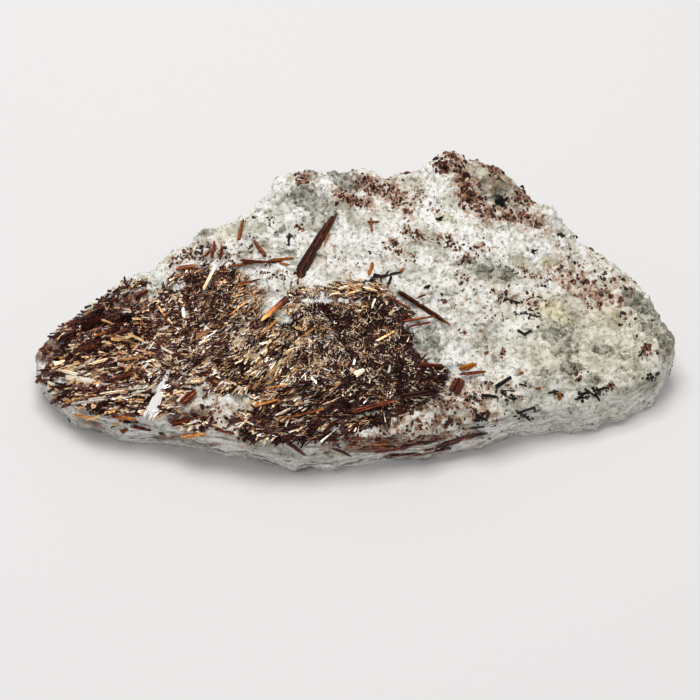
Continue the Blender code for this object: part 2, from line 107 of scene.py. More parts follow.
# %% Noise functions
def hashed(cells, salt):
    """A number from 0 to 1 for each row of three whole numbers."""
    whole = cells.astype(np.int64)
    mixed = whole[..., 0] * 73856093 ^ whole[..., 1] * 19349663 ^ whole[..., 2] * 83492791 ^ salt * 40503
    mixed = ((mixed ^ (mixed >> 13)) * 1274126177) & 0xFFFFFFFF
    mixed = ((mixed ^ (mixed >> 16)) * 2246822519) & 0xFFFFFFFF
    return ((mixed ^ (mixed >> 15)) & 0xFFFFFF) / 0xFFFFFF


def soft_noise(spots, size, salt=0):
    """Soft noise, about -1 to 1, with bumps of this size: one size, or one for each axis."""
    scaled = spots / np.array(size)
    base = np.floor(scaled)
    part = scaled - base
    ease = part ** 3 * (part * (part * 6 - 15) + 10)
    total = np.zeros(len(spots))
    for corner in np.ndindex(2, 2, 2):
        slope = np.stack([hashed(base + corner, salt + axis) for axis in range(3)], axis=1) - 0.5
        weight = np.prod(np.where(corner, ease, 1 - ease), axis=1)
        total += weight * np.sum(slope * (part - corner), axis=1)
    return 3 * total


def chips(spots, size, salt=0):
    """Broken chips of this size: how far a spot is above or below the middle of its chip's tilted face,
    about -0.5 to 0.5."""
    scaled = spots / size
    base = np.floor(scaled)
    nearest = np.full(len(spots), 9.0)
    rise = np.zeros(len(spots))
    for step in np.ndindex(3, 3, 3):
        cell = base + np.array(step) - 1
        middle = cell + np.stack([hashed(cell, salt + axis) for axis in range(3)], axis=1)
        away = scaled - middle
        distance = np.sum(away * away, axis=1)
        closer = distance < nearest
        tilt = np.stack([hashed(cell, salt + 10 + axis) for axis in range(3)], axis=1) * 2 - 1
        rise = np.where(closer, np.sum(tilt * away, axis=1), rise)
        nearest = np.minimum(nearest, distance)
    return rise


def ramp(value, low, high):
    """0 below low, 1 above high, and a soft rise between them."""
    share = np.clip((value - low) / (high - low), 0, 1)
    return share * share * (3 - 2 * share)


# %% [markdown]
# ## The skin of the stone
#
# All solids become one closed skin of even small faces. The crystals and the blade mass are grown a little
# and lowered as much, so that the seats around them close. Subdividing the solids would keep their long
# thin triangles. A voxel remesh gives even faces instead, which take fine relief well.

# %% The skin
SKIN_VOXEL = 0.43 * MM
SEAT_CLOSING = 0.45 * MM
CRYSTAL_LOWERING = 0.65 * MM


def object_of(name, mesh):
    """A new object with this mesh, in the scene."""
    thing = bpy.data.objects.new(name, mesh)
    bpy.context.scene.collection.objects.link(thing)
    return thing


def settled(thing):
    """The object's mesh with its modifiers applied."""
    bpy.context.view_layer.update()
    seen = thing.evaluated_get(bpy.context.evaluated_depsgraph_get())
    mesh = bpy.data.meshes.new_from_object(seen)
    thing.modifiers.clear()
    thing.data = mesh
    return thing


def largest_body(mesh):
    """Drops the small closed hollows and crumbs that remeshing leaves."""
    work = bmesh.new()
    work.from_mesh(mesh)
    unseen = set(work.verts)
    bodies = []
    while unseen:
        body = [unseen.pop()]
        for vert in body:
            for edge in vert.link_edges:
                other = edge.other_vert(vert)
                if other in unseen:
                    unseen.discard(other)
                    body.append(other)
        bodies.append(body)
    bodies.sort(key=len)
    for body in bodies[:-1]:
        bmesh.ops.delete(work, geom=body, context="VERTS")
    work.to_mesh(mesh)
    work.free()


def closed_skin():
    """All solids in one closed skin of even faces."""
    whole = bmesh.new()
    for name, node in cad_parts.items():
        part = bmesh.new()
        part.from_mesh(node.data)
        bmesh.ops.remove_doubles(part, verts=part.verts, dist=0.001 * MM)
        bmesh.ops.recalc_face_normals(part, faces=part.faces)
        part.normal_update()
        if name != "matrix":
            lowering = SEAT_CLOSING if name == "blade_mass" else CRYSTAL_LOWERING
            for vert in part.verts:
                vert.co += vert.normal * SEAT_CLOSING - TO_EYE * lowering
        copy = bpy.data.meshes.new("copy")
        part.to_mesh(copy)
        part.free()
        whole.from_mesh(copy)
    mesh = bpy.data.meshes.new("skin")
    whole.to_mesh(mesh)
    whole.free()
    skin = object_of("skin", mesh)
    step = skin.modifiers.new("Even faces", "REMESH")
    step.mode = "VOXEL"
    step.voxel_size = SKIN_VOXEL
    step = skin.modifiers.new("Soften", "SMOOTH")
    step.factor = 0.5
    step.iterations = 4
    settled(skin)
    largest_body(skin.data)
    return skin


def coordinates(mesh):
    """The mesh's points as rows of x, y and z."""
    spots = np.empty(len(mesh.vertices) * 3)
    mesh.vertices.foreach_get("co", spots)
    return spots.reshape(-1, 3)


def normals(mesh):
    """The outward direction at each point, as rows."""
    out = np.empty(len(mesh.vertices) * 3)
    mesh.vertices.foreach_get("normal", out)
    return out.reshape(-1, 3)


def move_to(mesh, spots):
    mesh.vertices.foreach_set("co", spots.ravel())
    mesh.update()


def tree_of(mesh):
    """A search tree for casting rays on to the mesh."""
    work = bmesh.new()
    work.from_mesh(mesh)
    tree = BVHTree.FromBMesh(work)
    work.free()
    return tree


skin = closed_skin()
spots = coordinates(skin.data)
outward = normals(skin.data)
# Faces that look down close to the ground are the foot and are laid flat on it
flat_foot = (outward[:, 2] < -0.6) & (spots[:, 2] < 0.7 * MM)
spots[flat_foot, 2] = 0
spots[:, 2] = np.maximum(spots[:, 2], 0)
move_to(skin.data, spots)
calm_tree = tree_of(skin.data)
outward = normals(skin.data)
facing = outward @ np.array(TO_EYE)
seen = in_picture(spots)
print("skin:", len(spots), "points,", len(skin.data.polygons), "faces")

# %% [markdown]
# ## Where each kind of ground is
#
# The felt of blades has a ragged outline with pockets of white rock in it. It could be painted on an image,
# but an outline of some forty corners, roughened by noise, stays sharp at any size. Each point of the skin
# gets a number: above 0 it lies under the felt.

# %% Outline of the felt
FELT_OUTLINE = [
    (26, 352), (44, 331), (66, 327), (84, 309), (104, 296), (128, 282), (150, 284), (172, 281), (182, 268),
    (204, 264), (222, 266), (236, 271), (244, 282), (256, 291), (278, 294), (292, 287), (318, 290),
    (334, 286), (380, 284), (392, 296), (414, 314), (404, 324), (412, 336), (414, 352), (424, 364),
    (445, 367), (441, 392), (413, 410), (380, 422), (346, 432), (306, 438), (262, 436), (240, 432),
    (200, 434), (150, 428), (108, 419), (84, 411), (62, 396), (50, 381), (40, 366),
]
# White ground in the felt: place, half length, half width, turn in degrees, and how white
FELT_POCKETS = [
    (272, 304, 18, 9, 38, 0.8), (285, 318, 12, 7, 15, 0.9), (216, 407, 32, 14, -5, 1.0),
    (274, 380, 12, 9, 40, 1.0), (326, 299, 12, 5, 10, 0.9), (352, 301, 16, 4, 0, 0.8),
    (210, 279, 4, 17, -25, 1.0), (186, 312, 4, 9, 10, 0.8), (174, 334, 9, 4, -20, 0.8),
    (70, 380, 14, 6, -5, 0.9), (244, 398, 14, 10, 10, 1.1), (249, 410, 14, 6, 10, 0.8),
    (155, 392, 12, 14, 60, 0.8), (108, 404, 12, 3, 0, 0.5), (300, 378, 11, 5, 30, 0.5),
    (359, 364, 5, 8, 0, 0.5), (178, 287, 12, 5, 25, 0.7), (228, 428, 26, 6, 5, 0.9),
    (321, 429, 9, 6, 30, 0.9), (339, 427, 8, 6, 60, 0.8), (262, 345, 12, 5, 40, 0.6),
    (296, 352, 9, 4, 40, 0.5), (132, 386, 8, 3, 0, 0.5), (194, 262, 14, 5, 15, 0.8),
    (370, 414, 20, 4, 12, 0.7), (306, 301, 9, 5, 0, 0.7), (250, 330, 10, 4, 45, 0.5),
    (152, 292, 14, 7, 35, 0.9), (160, 420, 22, 8, 5, 0.7), (196, 388, 12, 6, 0, 0.7),
    (240, 372, 12, 4, 40, 0.5), (300, 392, 16, 4, 20, 0.4), (126, 302, 18, 10, 30, 1.0),
    (47, 349, 18, 17, 0, 1.2), (180, 404, 10, 10, 0, 0.7), (330, 318, 14, 5, 30, 0.4),
]
# How many picture points the felt takes to thin out, how strongly a pocket opens it, and how upright a
# surface may turn before it is too steep for it, as the upward part of its normal
FELT_BORDER = 9
POCKET_STRENGTH = 2.6
STEEPEST_FELT = 0.55


def polygon_depth(points, outline):
    """How deep points lie in an outline, in picture points: positive inside, negative outside."""
    corners = np.array(outline, dtype=float)
    nearest = np.full(len(points), 1e9)
    inside = np.zeros(len(points), dtype=bool)
    for start, end in zip(corners, np.roll(corners, -1, axis=0)):
        run = end - start
        along = np.clip((points - start) @ run / (run @ run), 0, 1)
        away = points - start - along[:, None] * run
        nearest = np.minimum(nearest, np.hypot(away[:, 0], away[:, 1]))
        crosses = (start[1] > points[:, 1]) != (end[1] > points[:, 1])
        cut = run[0] * (points[:, 1] - start[1]) / (run[1] if run[1] else 1e-9) + start[0]
        inside ^= crosses & (points[:, 0] < cut)
    return np.where(inside, nearest, -nearest)


def patch_share(points, patch):
    """1 in the middle of an oval patch, 0 on its edge and negative outside."""
    x, y, long_half, short_half, turn = patch[:5]
    angle = math.radians(turn)
    away = points - (x, y)
    along = away[:, 0] * math.cos(angle) - away[:, 1] * math.sin(angle)
    across = away[:, 0] * math.sin(angle) + away[:, 1] * math.cos(angle)
    return 1 - np.hypot(along / long_half, across / short_half)


def felt_share(points, spots, facing):
    """Above 0 where the felt covers the rock. About 1 well inside."""
    share = np.clip(polygon_depth(points, FELT_OUTLINE) / FELT_BORDER, -2, 1)
    for pocket in FELT_POCKETS:
        share -= POCKET_STRENGTH * pocket[5] * np.clip(patch_share(points, pocket) + 0.4, 0, 1)
    share += 0.5 * soft_noise(spots / MM, 2.4, 3) + 0.35 * soft_noise(spots / MM, 0.9, 7)
    return share - 6 * np.clip(0.12 - facing, 0, 1)


felt = felt_share(seen, spots, facing) - 4 * np.clip(STEEPEST_FELT - outward[:, 2], 0, 1)
print("felt points:", int(np.sum(felt > 0)))

# %% [markdown]
# ## Grains, stains and broken sides
#
# The white rock holds glassy grey grains, a yellowish stain of weathering, folded brown mica on its lower
# edge and thin grey layers on its broken sides. Each is a few oval patches in the picture and ends as a
# number at each point of the skin, which the finish reads. On the sides that the picture doesn't show, soft
# noise takes their place.

# %% Patches on the rock
# Place in the picture, half length, half width, turn, strength
GLASSY = [
    (345, 180, 22, 13, -15, 1.2), (306, 196, 24, 18, 0, 1.0), (207, 231, 13, 9, 10, 0.9),
    (386, 170, 12, 9, 0, 0.9), (492, 182, 30, 22, -40, 1.5), (502, 273, 18, 11, -20, 1.2),
    (426, 345, 22, 24, 0, 1.2), (556, 336, 24, 14, -10, 1.1), (571, 368, 16, 10, 0, 1.2),
    (594, 380, 12, 8, 0, 1.0), (636, 301, 20, 12, -40, 1.2), (654, 324, 24, 14, -50, 1.4),
    (667, 345, 14, 20, 0, 1.3), (283, 315, 11, 5, 15, 0.8), (268, 305, 9, 4, 20, 0.6),
    (512, 204, 16, 8, 0, 0.9), (325, 222, 26, 20, -30, 0.85), (470, 240, 14, 8, -30, 0.6),
    (540, 318, 16, 8, 0, 0.6), (290, 250, 22, 16, 20, 0.7), (460, 300, 14, 9, 0, 0.4),
    (520, 400, 22, 8, 0, 0.6), (500, 360, 18, 10, 0, 0.4), (270, 222, 18, 14, 0, 0.4),
    (403, 215, 12, 10, 0, 0.4), (545, 372, 20, 9, 0, 0.6), (600, 235, 16, 8, -30, 0.5),
    (425, 262, 14, 8, 0, 0.3), (312, 176, 16, 11, 0, 0.9), (284, 228, 16, 12, 30, 0.75),
    (470, 262, 10, 8, 0, 0.7), (562, 330, 26, 14, 10, 0.7), (565, 352, 20, 12, 0, 0.7),
    (600, 350, 24, 12, 0, 0.6), (488, 273, 18, 13, -30, 0.9), (126, 302, 15, 8, 30, 1.0),
    (46, 350, 11, 12, 0, 1.0), (272, 449, 36, 8, -14, 1.3), (322, 456, 24, 8, 5, 1.1),
    (100, 428, 30, 7, -15, 1.1), (52, 404, 12, 12, -40, 1.1), (200, 442, 26, 5, -5, 0.9),
    (420, 462, 30, 5, 8, 0.8),
]
OLIVE = [
    (444, 217, 10, 6, 0, 0.8), (547, 262, 8, 7, 0, 0.8), (556, 312, 36, 18, -20, 0.75),
    (612, 318, 30, 18, -30, 0.65), (555, 355, 40, 18, 0, 0.45), (480, 410, 24, 8, 0, 0.3),
    (228, 232, 16, 10, 0, 0.4), (590, 360, 34, 18, 0, 0.45), (600, 350, 100, 80, 0, 0.38),
    (500, 320, 90, 70, 0, 0.1), (495, 178, 26, 18, -40, 0.6), (530, 196, 14, 8, -40, 0.8),
    (620, 350, 26, 18, 0, 0.45), (500, 280, 24, 10, 0, 0.4),
]
# Brown layered ground: the folded mica on the lower edge, and the lumps at the left end
UMBER = [
    (371, 445, 34, 8, 8, 1.0), (430, 440, 30, 6, 12, 0.85), (425, 454, 36, 4, 10, 0.6),
    (480, 436, 24, 5, 10, 0.5), (300, 436, 40, 6, 0, 0.7), (254, 424, 20, 8, 0, 0.8),
    (286, 424, 20, 7, 0, 0.8), (47, 349, 20, 19, 0, 1.0), (126, 302, 19, 11, 30, 1.0),
    (98, 323, 28, 12, 30, 0.9), (488, 166, 20, 7, -20, 0.6), (518, 190, 14, 7, -50, 0.6),
    (495, 184, 20, 14, -40, 0.5), (170, 437, 26, 5, 0, 0.6), (92, 424, 20, 5, -20, 0.6),
    (560, 424, 30, 4, 15, 0.35), (214, 444, 18, 4, 0, 0.5),
]
# Layered grey ground along the lower left, where the broken side leans back
LAYERED = [
    (72, 418, 24, 9, -35, 1.2), (115, 432, 34, 8, -12, 1.2), (171, 442, 34, 8, -6, 1.2),
    (227, 451, 34, 8, -10, 1.2), (284, 457, 34, 9, -8, 1.3), (330, 460, 30, 9, 0, 1.3),
    (380, 460, 30, 7, 8, 1.2),
]


in_mm = spots / MM
seen_side = ramp(facing, 0.0, 0.15)
unseen_side = 1 - seen_side


def patches(rows):
    """The strongest of several oval patches at each point of the skin, on the side that faces the eye."""
    strongest = np.zeros(len(seen))
    for patch in rows:
        strongest = np.maximum(strongest, patch[5] * np.clip(0.25 + patch_share(seen, patch), 0, 1))
    return strongest * seen_side


glassy = patches(GLASSY) + unseen_side * 0.8 * ramp(soft_noise(in_mm, 8.0, 31), 0.25, 0.7)
olive = patches(OLIVE) + unseen_side * 0.4 * ramp(soft_noise(in_mm, 11.0, 37), 0.1, 0.8)
umber = patches(UMBER) + unseen_side * 0.6 * ramp(soft_noise(in_mm, (14, 14, 2.5), 39), 0.35, 0.7)
sides = (1 - ramp(outward[:, 2], 0.12, 0.5)) * ramp(14.0 - in_mm[:, 2], 0, 4)
leaning_back = np.clip(1.6 * patches(LAYERED), 0, 1) * (1 - ramp(felt, -0.5, 0.0))
sides = np.maximum.reduce([sides, leaning_back, flat_foot])
print("glassy:", int(np.sum(glassy > 0.4)), "sides:", int(np.sum(sides > 0.5)))

# %% [markdown]
# ## Relief
#
# Feldspar breaks in chips: flat faces a few millimetres across with small steps between them, and a sugary
# grain of about a millimetre on top. The broken sides show the layering of the rock as long low ledges. The
# felt's bed is lower and smoother, because blades will cover it. The chips could come from a displacement
# texture, but moving the points here leaves a real mesh, which the export keeps.

# %% Relief of rock and felt
# Height in mm, size in mm and salt of the chips, from big to small
CHIPS = [(0.62, 5.0, 100), (0.40, 2.6, 200), (0.26, 1.3, 300)]
on_rock = 1 - ramp(felt, -0.2, 0.3)
warp = np.stack([soft_noise(in_mm, 2.2, 81 + 7 * axis) for axis in range(3)], axis=1)
warped = in_mm + 0.5 * warp
broken = sum(height * chips(warped, size, salt) for height, size, salt in CHIPS)
grainy = 0.12 * soft_noise(in_mm, 0.9, 41) + 0.14 * soft_noise(in_mm, 2.1, 43)
layered = 0.34 * soft_noise(in_mm, (16, 16, 1.1), 51) + 0.2 * soft_noise(in_mm, (7, 7, 0.55), 53)
# The broken sides fade to plain white rock towards the right end
calm_end = 1 - 0.8 * ramp(in_mm[:, 0], 14, 32)
relief = broken * (1 - 0.45 * sides) + grainy + layered * sides * calm_end
foot_calm = ramp(in_mm[:, 2], 0.0, 1.2)
rock_lift = relief * foot_calm * (0.35 + 0.65 * on_rock)
rock_spots = spots + outward * ((rock_lift - 1.0 * ramp(felt, -0.1, 0.5)) * MM)[:, None]
rock_spots[:, 2] = np.maximum(rock_spots[:, 2], 0)
rock_spots[flat_foot, 2] = 0
print("relief in mm:", round(float(rock_lift.min()), 2), "to", round(float(rock_lift.max()), 2))


def number_on(mesh, name, values):
    """Stores a number for each point of a mesh, for the finishes to read."""
    layer = mesh.attributes.new(name, "FLOAT", "POINT")
    layer.data.foreach_set("value", np.asarray(values, dtype=np.float32))


def smooth_but_sharp(mesh, degrees):
    """Smooth shading with creases where faces turn by more than this."""
    mesh.polygons.foreach_set("use_smooth", [True] * len(mesh.polygons))
    mesh.set_sharp_from_angle(angle=math.radians(degrees))


rock = object_of("rock", skin.data.copy())
move_to(rock.data, rock_spots)
smooth_but_sharp(rock.data, 38)

# %% [markdown]
# ## The bed under the blades
#
# Between the blades one sees a dark ground of blades too fine to tell apart, made darker still as painted
# shade between the blades. It could be a dark patch in the rock's colour, but a layer of its own can have
# its own finish and relief. It follows the rock's surface, dips below it at its ragged border, and is
# closed by a second skin underneath.

# %% The bed
bed_lift = relief * 0.3 + 0.16 * soft_noise(in_mm, 1.1, 61) - 0.95 + 1.1 * ramp(felt, -0.45, 0.25)
bed_spots = spots + outward * (bed_lift * MM)[:, None]


def part_of(mesh, keep, name):
    """A copy of the faces whose points are all kept. Returns the mesh and the numbers of its points."""
    work = bmesh.new()
    work.from_mesh(mesh)
    work.verts.ensure_lookup_table()
    layer = work.verts.layers.int.new("number")
    for vert in work.verts:
        vert[layer] = vert.index
    gone = [vert for vert in work.verts if not keep[vert.index]]
    bmesh.ops.delete(work, geom=gone, context="VERTS")
    loose = [vert for vert in work.verts if not vert.link_faces]
    bmesh.ops.delete(work, geom=loose, context="VERTS")
    numbers = np.array([vert[layer] for vert in work.verts])
    work.verts.layers.int.remove(layer)
    cut = bpy.data.meshes.new(name)
    work.to_mesh(cut)
    work.free()
    return cut, numbers


bed_mesh, bed_numbers = part_of(skin.data, felt > -0.6, "felt_bed")
move_to(bed_mesh, bed_spots[bed_numbers])
felt_bed = object_of("felt_bed", bed_mesh)
number_on(bed_mesh, "shade", soft_noise(in_mm[bed_numbers], 3.0, 67))
step = felt_bed.modifiers.new("Closed layer", "SOLIDIFY")
step.thickness = 0.9 * MM
step.offset = -1
settled(felt_bed)
smooth_but_sharp(felt_bed.data, 45)
print("bed faces:", len(felt_bed.data.polygons))

rock_tree = tree_of(rock.data)
bed_tree = tree_of(bed_mesh)

# %% [markdown]
# ## Flat crystals
#
# Every blade, flake and splinter is a thin plate: with six corners and pointed ends, or only four or three.
# They differ in size, lie and tone. Particles or instances would be the quick way to strew them, but they
# don't outlast an export, so a mesh of thousands is built in one go from rows of numbers.

# %% Plates
PLATE = [(-1, 0), (-0.8, -0.5), (0.8, -0.5), (1, 0), (0.8, 0.5), (-0.8, 0.5)]
LATH = [(-1, -0.5), (1, -0.5), (1, 0.5), (-1, 0.5)]
SPLINTER = [(-1, -0.5), (1, 0), (-1, 0.5)]
# No plate reaches under the foot of the stone
LOWEST = 0.02 * MM


def unit(rows):
    """Each row at a length of 1."""
    return rows / np.maximum(np.linalg.norm(rows, axis=1, keepdims=True), 1e-12)


def plates(name, outline, middles, alongs, flats, lengths, widths, thicknesses, tones, cools, taper):
    """One mesh of many plates with this outline. alongs and flats are the directions of the length and of
    the flat side's normal. taper is the far end's width as a share of the near end's."""
    count = len(middles)
    corners = len(outline)
    alongs = unit(alongs)
    sides = unit(np.cross(flats, alongs))
    flats = np.cross(alongs, sides)
    near = 2 / (1 + taper)
    spots = np.empty((count, 2 * corners, 3))
    for level, half in enumerate((-0.5, 0.5)):
        for corner, (along, side) in enumerate(outline):
            width = widths * near * (1 + (taper - 1) * (along + 1) / 2)
            spots[:, level * corners + corner] = (
                middles + alongs * (along * lengths / 2)[:, None] + sides * (side * width)[:, None]
                + flats * (half * thicknesses)[:, None])
    spots[..., 2] = np.maximum(spots[..., 2], LOWEST)
    plate_faces = [tuple(reversed(range(corners))), tuple(range(corners, 2 * corners))]
    for k in range(corners):
        after = (k + 1) % corners
        plate_faces.append((k, after, after + corners, k + corners))
    first = 2 * corners
    faces = [
        tuple(corner + first * number for corner in face)
        for number in range(count) for face in plate_faces]
    mesh = bpy.data.meshes.new(name)
    mesh.from_pydata(spots.reshape(-1, 3), [], faces)
    number_on(mesh, "tone", np.repeat(tones, first))
    number_on(mesh, "cool", np.repeat(cools, first))
    number_on(mesh, "along", np.tile([0.5 * (along + 1) for along, side in outline] * 2, count))
    number_on(mesh, "across", np.tile([side * 2 for along, side in outline] * 2, count))
    number_on(mesh, "own", np.repeat(dice.random(count), first))
    return object_of(name, mesh)


def seat(tree, x, y):
    """Where a point of the picture lies on a surface."""
    return tree.ray_cast(EYE, sight(x, y))[0]


def bed_or_rock(x, y):
    """The nearer of the felt's bed and the rock at a point of the picture."""
    found = [spot for spot in (seat(bed_tree, x, y), seat(rock_tree, x, y)) if spot is not None]
    return max(found, key=lambda spot: spot.dot(TO_EYE), default=None)


def bare_rock(x, y):
    """The rock at a point of the picture."""
    return seat(rock_tree, x, y)


def calm_normal(x, y):
    """The normal of the smooth skin at a point of the picture."""
    return calm_tree.ray_cast(EYE, sight(x, y))[1]


def lie_on(direction, normal):
    """The direction in a surface that is seen at this angle of the picture. The angle is in radians and turns
    up from the right."""
    wanted = RIGHT * math.cos(direction) + UP * math.sin(direction)
    lean = max(normal.dot(TO_EYE), 0.25)
    direction = wanted - TO_EYE * (wanted.dot(normal) / lean)
    return (direction - normal * direction.dot(normal)).normalized()


# %% [markdown]
# ## The flow of the felt
#
# Each row says how blades lie around a place of the picture: the angle (degrees, turning up from the
# right), how far it scatters, the length and width in millimetres, and the shares of golden and of pale
# blades: golden ones are partly their own colour and partly painted glint, pale ones painted glint. Between
# these places the values blend. Drawing each blade by hand would take thousands of rows, and pure chance
# would lose the sweep that makes the felt look grown.

# %% Flow
FLOW = [
    (52, 352, 10, 25, 3.0, 0.46, 0.10, 0.10), (75, 362, 12, 14, 3.8, 0.56, 0.24, 0.22),
    (100, 340, 18, 22, 3.0, 0.46, 0.14, 0.06), (128, 306, 28, 30, 2.6, 0.42, 0.10, 0.14),
    (150, 290, 38, 35, 2.2, 0.38, 0.12, 0.26), (95, 383, 3, 12, 3.8, 0.50, 0.14, 0.24),
    (150, 405, 6, 20, 3.2, 0.50, 0.16, 0.34), (128, 360, 10, 22, 3.2, 0.44, 0.30, 0.20),
    (165, 345, -8, 45, 2.2, 0.34, 0.12, 0.20), (205, 296, 30, 36, 1.5, 0.24, 0.12, 0.08),
    (215, 330, 26, 30, 1.5, 0.24, 0.12, 0.12), (250, 290, 40, 26, 1.8, 0.24, 0.22, 0.20),
    (240, 345, 28, 22, 1.8, 0.24, 0.20, 0.32), (275, 355, 42, 15, 2.4, 0.28, 0.24, 0.32),
    (300, 330, 46, 40, 1.2, 0.22, 0.18, 0.24), (250, 400, 30, 25, 2.2, 0.32, 0.28, 0.30),
    (300, 405, 22, 14, 2.6, 0.28, 0.16, 0.16), (340, 415, 26, 22, 2.0, 0.28, 0.08, 0.04),
    (270, 428, 15, 20, 2.4, 0.34, 0.12, 0.08), (310, 430, 15, 20, 2.4, 0.34, 0.10, 0.05),
    (326, 312, 50, 70, 0.9, 0.20, 0.12, 0.20), (370, 350, 20, 90, 0.8, 0.20, 0.08, 0.12),
    (395, 385, 25, 60, 0.9, 0.20, 0.06, 0.05), (428, 384, -6, 24, 1.6, 0.28, 0.05, 0.10),
    (355, 290, -10, 14, 2.4, 0.32, 0.34, 0.20), (410, 345, 15, 70, 0.8, 0.20, 0.06, 0.12),
    (345, 322, 40, 80, 0.8, 0.20, 0.08, 0.10), (372, 316, 20, 60, 0.8, 0.20, 0.10, 0.10),
    (205, 422, 5, 20, 2.4, 0.46, 0.12, 0.36),
]


def flow_at(points):
    """The rows of FLOW blended for each point, nearer ones far more than distant ones."""
    rows = np.array(FLOW, dtype=float)
    away = points[:, None, :] - rows[None, :, :2]
    weight = 1 / (np.sum(away * away, axis=2) + 60) ** 2
    weight /= weight.sum(axis=1, keepdims=True)
    return weight @ rows[:, 2:]


print("places of flow:", len(FLOW))


def tones_for(golden, pale, brown):
    """Tone and coolness of each blade: golden ones, partly own colour and partly painted glint, and pale
    ones, painted glint with some greyed, in the shares given; the rest dark to mid brown, up to the tone
    called brown."""
    count = len(golden)
    draw = dice.random(count)
    tone = 0.02 + brown * dice.beta(1.3, 2.0, count)
    cool = 0.8 * dice.random(count)
    tone = np.where(draw < golden + pale, 0.56 + 0.24 * dice.random(count), tone)
    cool = np.where(draw < golden + pale, 0.3 * dice.random(count), cool)
    tone = np.where(draw < pale, 0.78 + 0.26 * dice.random(count), tone)
    return tone, np.where(draw < pale, 0.9 * dice.random(count) ** 1.5, cool)


def near_long_blade(points):
    """True where one of the long blades lies, which the strewn ones leave free."""
    taken = np.zeros(len(points), dtype=bool)
    for x0, y0, x1, y1, width0, width1 in [row[:6] for row in LONG_BLADES]:
        run = np.array([x1 - x0, y1 - y0], dtype=float)
        along = np.clip((points - (x0, y0)) @ run / (run @ run), 0, 1)
        away = points - (x0, y0) - along[:, None] * run
        taken |= np.hypot(away[:, 0], away[:, 1]) < 0.5 * (width0 + (width1 - width0) * along) + 0.8
    return taken


# The share of strewn blades that may cross a long one, the least upward and eyeward parts of a seat's
# normal, and a blade's thickness as a share of its width
CROSSING_SHARE = 0.06
STEEPEST_SEAT = 0.42
SIDEWAYS_SEAT = 0.3
BLADE_THICKNESS = 0.4


def strewn_blades(name, count, box, outline, size=1.0, width=1.0, bright=1.0, brown=0.44, rise=(0.0, 0.3),
                  turn=0.55):
    """Blades strewn over the felt within a box of the picture, along the flow. size and width scale the
    flow's own measures, and bright its golden and pale shares: the golden partly own colour and partly
    painted glint, the pale painted glint. rise is the height over the ground in mm, from low to high, and
    turn the roll about the blade's length, in radians."""
    points = dice.uniform(box[:2], box[2:], (count * 3, 2))
    crossing = dice.random(len(points)) < CROSSING_SHARE
    points = points[(polygon_depth(points, FELT_OUTLINE) > -16) & (crossing | ~near_long_blade(points))]
    hits = [bed_or_rock(x, y) for x, y in points]
    points = points[[spot is not None for spot in hits]]
    hits = np.array([spot for spot in hits if spot is not None])
    share = felt_share(points, hits, np.ones(len(points)))
    chosen = np.flatnonzero(share > dice.uniform(-0.78, 0.45, len(points)) ** 3 + 0.12)[:count]
    rows = flow_at(points[chosen])
    middles, alongs, flats, kept = [], [], [], []
    for number, index in enumerate(chosen):
        normal = calm_normal(*points[index])
        if normal is None or normal.z < STEEPEST_SEAT or normal.dot(TO_EYE) < SIDEWAYS_SEAT:
            continue
        angle = math.radians(random.gauss(rows[number, 0], rows[number, 1]))
        along = lie_on(angle, normal)
        flat = Matrix.Rotation(random.gauss(0, turn), 3, along) @ normal
        middles.append(Vector(hits[index]) + normal * random.uniform(*rise) * MM)
        alongs.append(along + normal * random.gauss(0, 0.10))
        flats.append(flat)
        kept.append(number)
    rows = rows[kept]
    lengths = rows[:, 2] * MM * size * dice.uniform(0.5, 1.35, len(kept))
    widths = rows[:, 3] * MM * width * dice.uniform(0.55, 1.4, len(kept))
    places = hits[chosen[kept]] / MM
    shade = 0.14 * soft_noise(places, 3.2, 91)
    # Share of golden and pale blades, gold colour and painted glint, thicker in some patches than others
    whole = rows[:, 4] + rows[:, 5]
    patchy = np.clip(1 + 2.6 * soft_noise(places, 1.7, 95), 0.1, 3)
    light = 1 - (1 - whole) ** (bright * patchy)
    tones, cools = tones_for(rows[:, 4] / whole * light, rows[:, 5] / whole * light, brown)
    piece = plates(
        name, outline, np.array(middles), np.array(alongs), np.array(flats), lengths, widths,
        widths * BLADE_THICKNESS, tones + shade, cools, dice.uniform(0.3, 1.0, len(kept)))
    print(name, len(kept), "blades")
    return piece
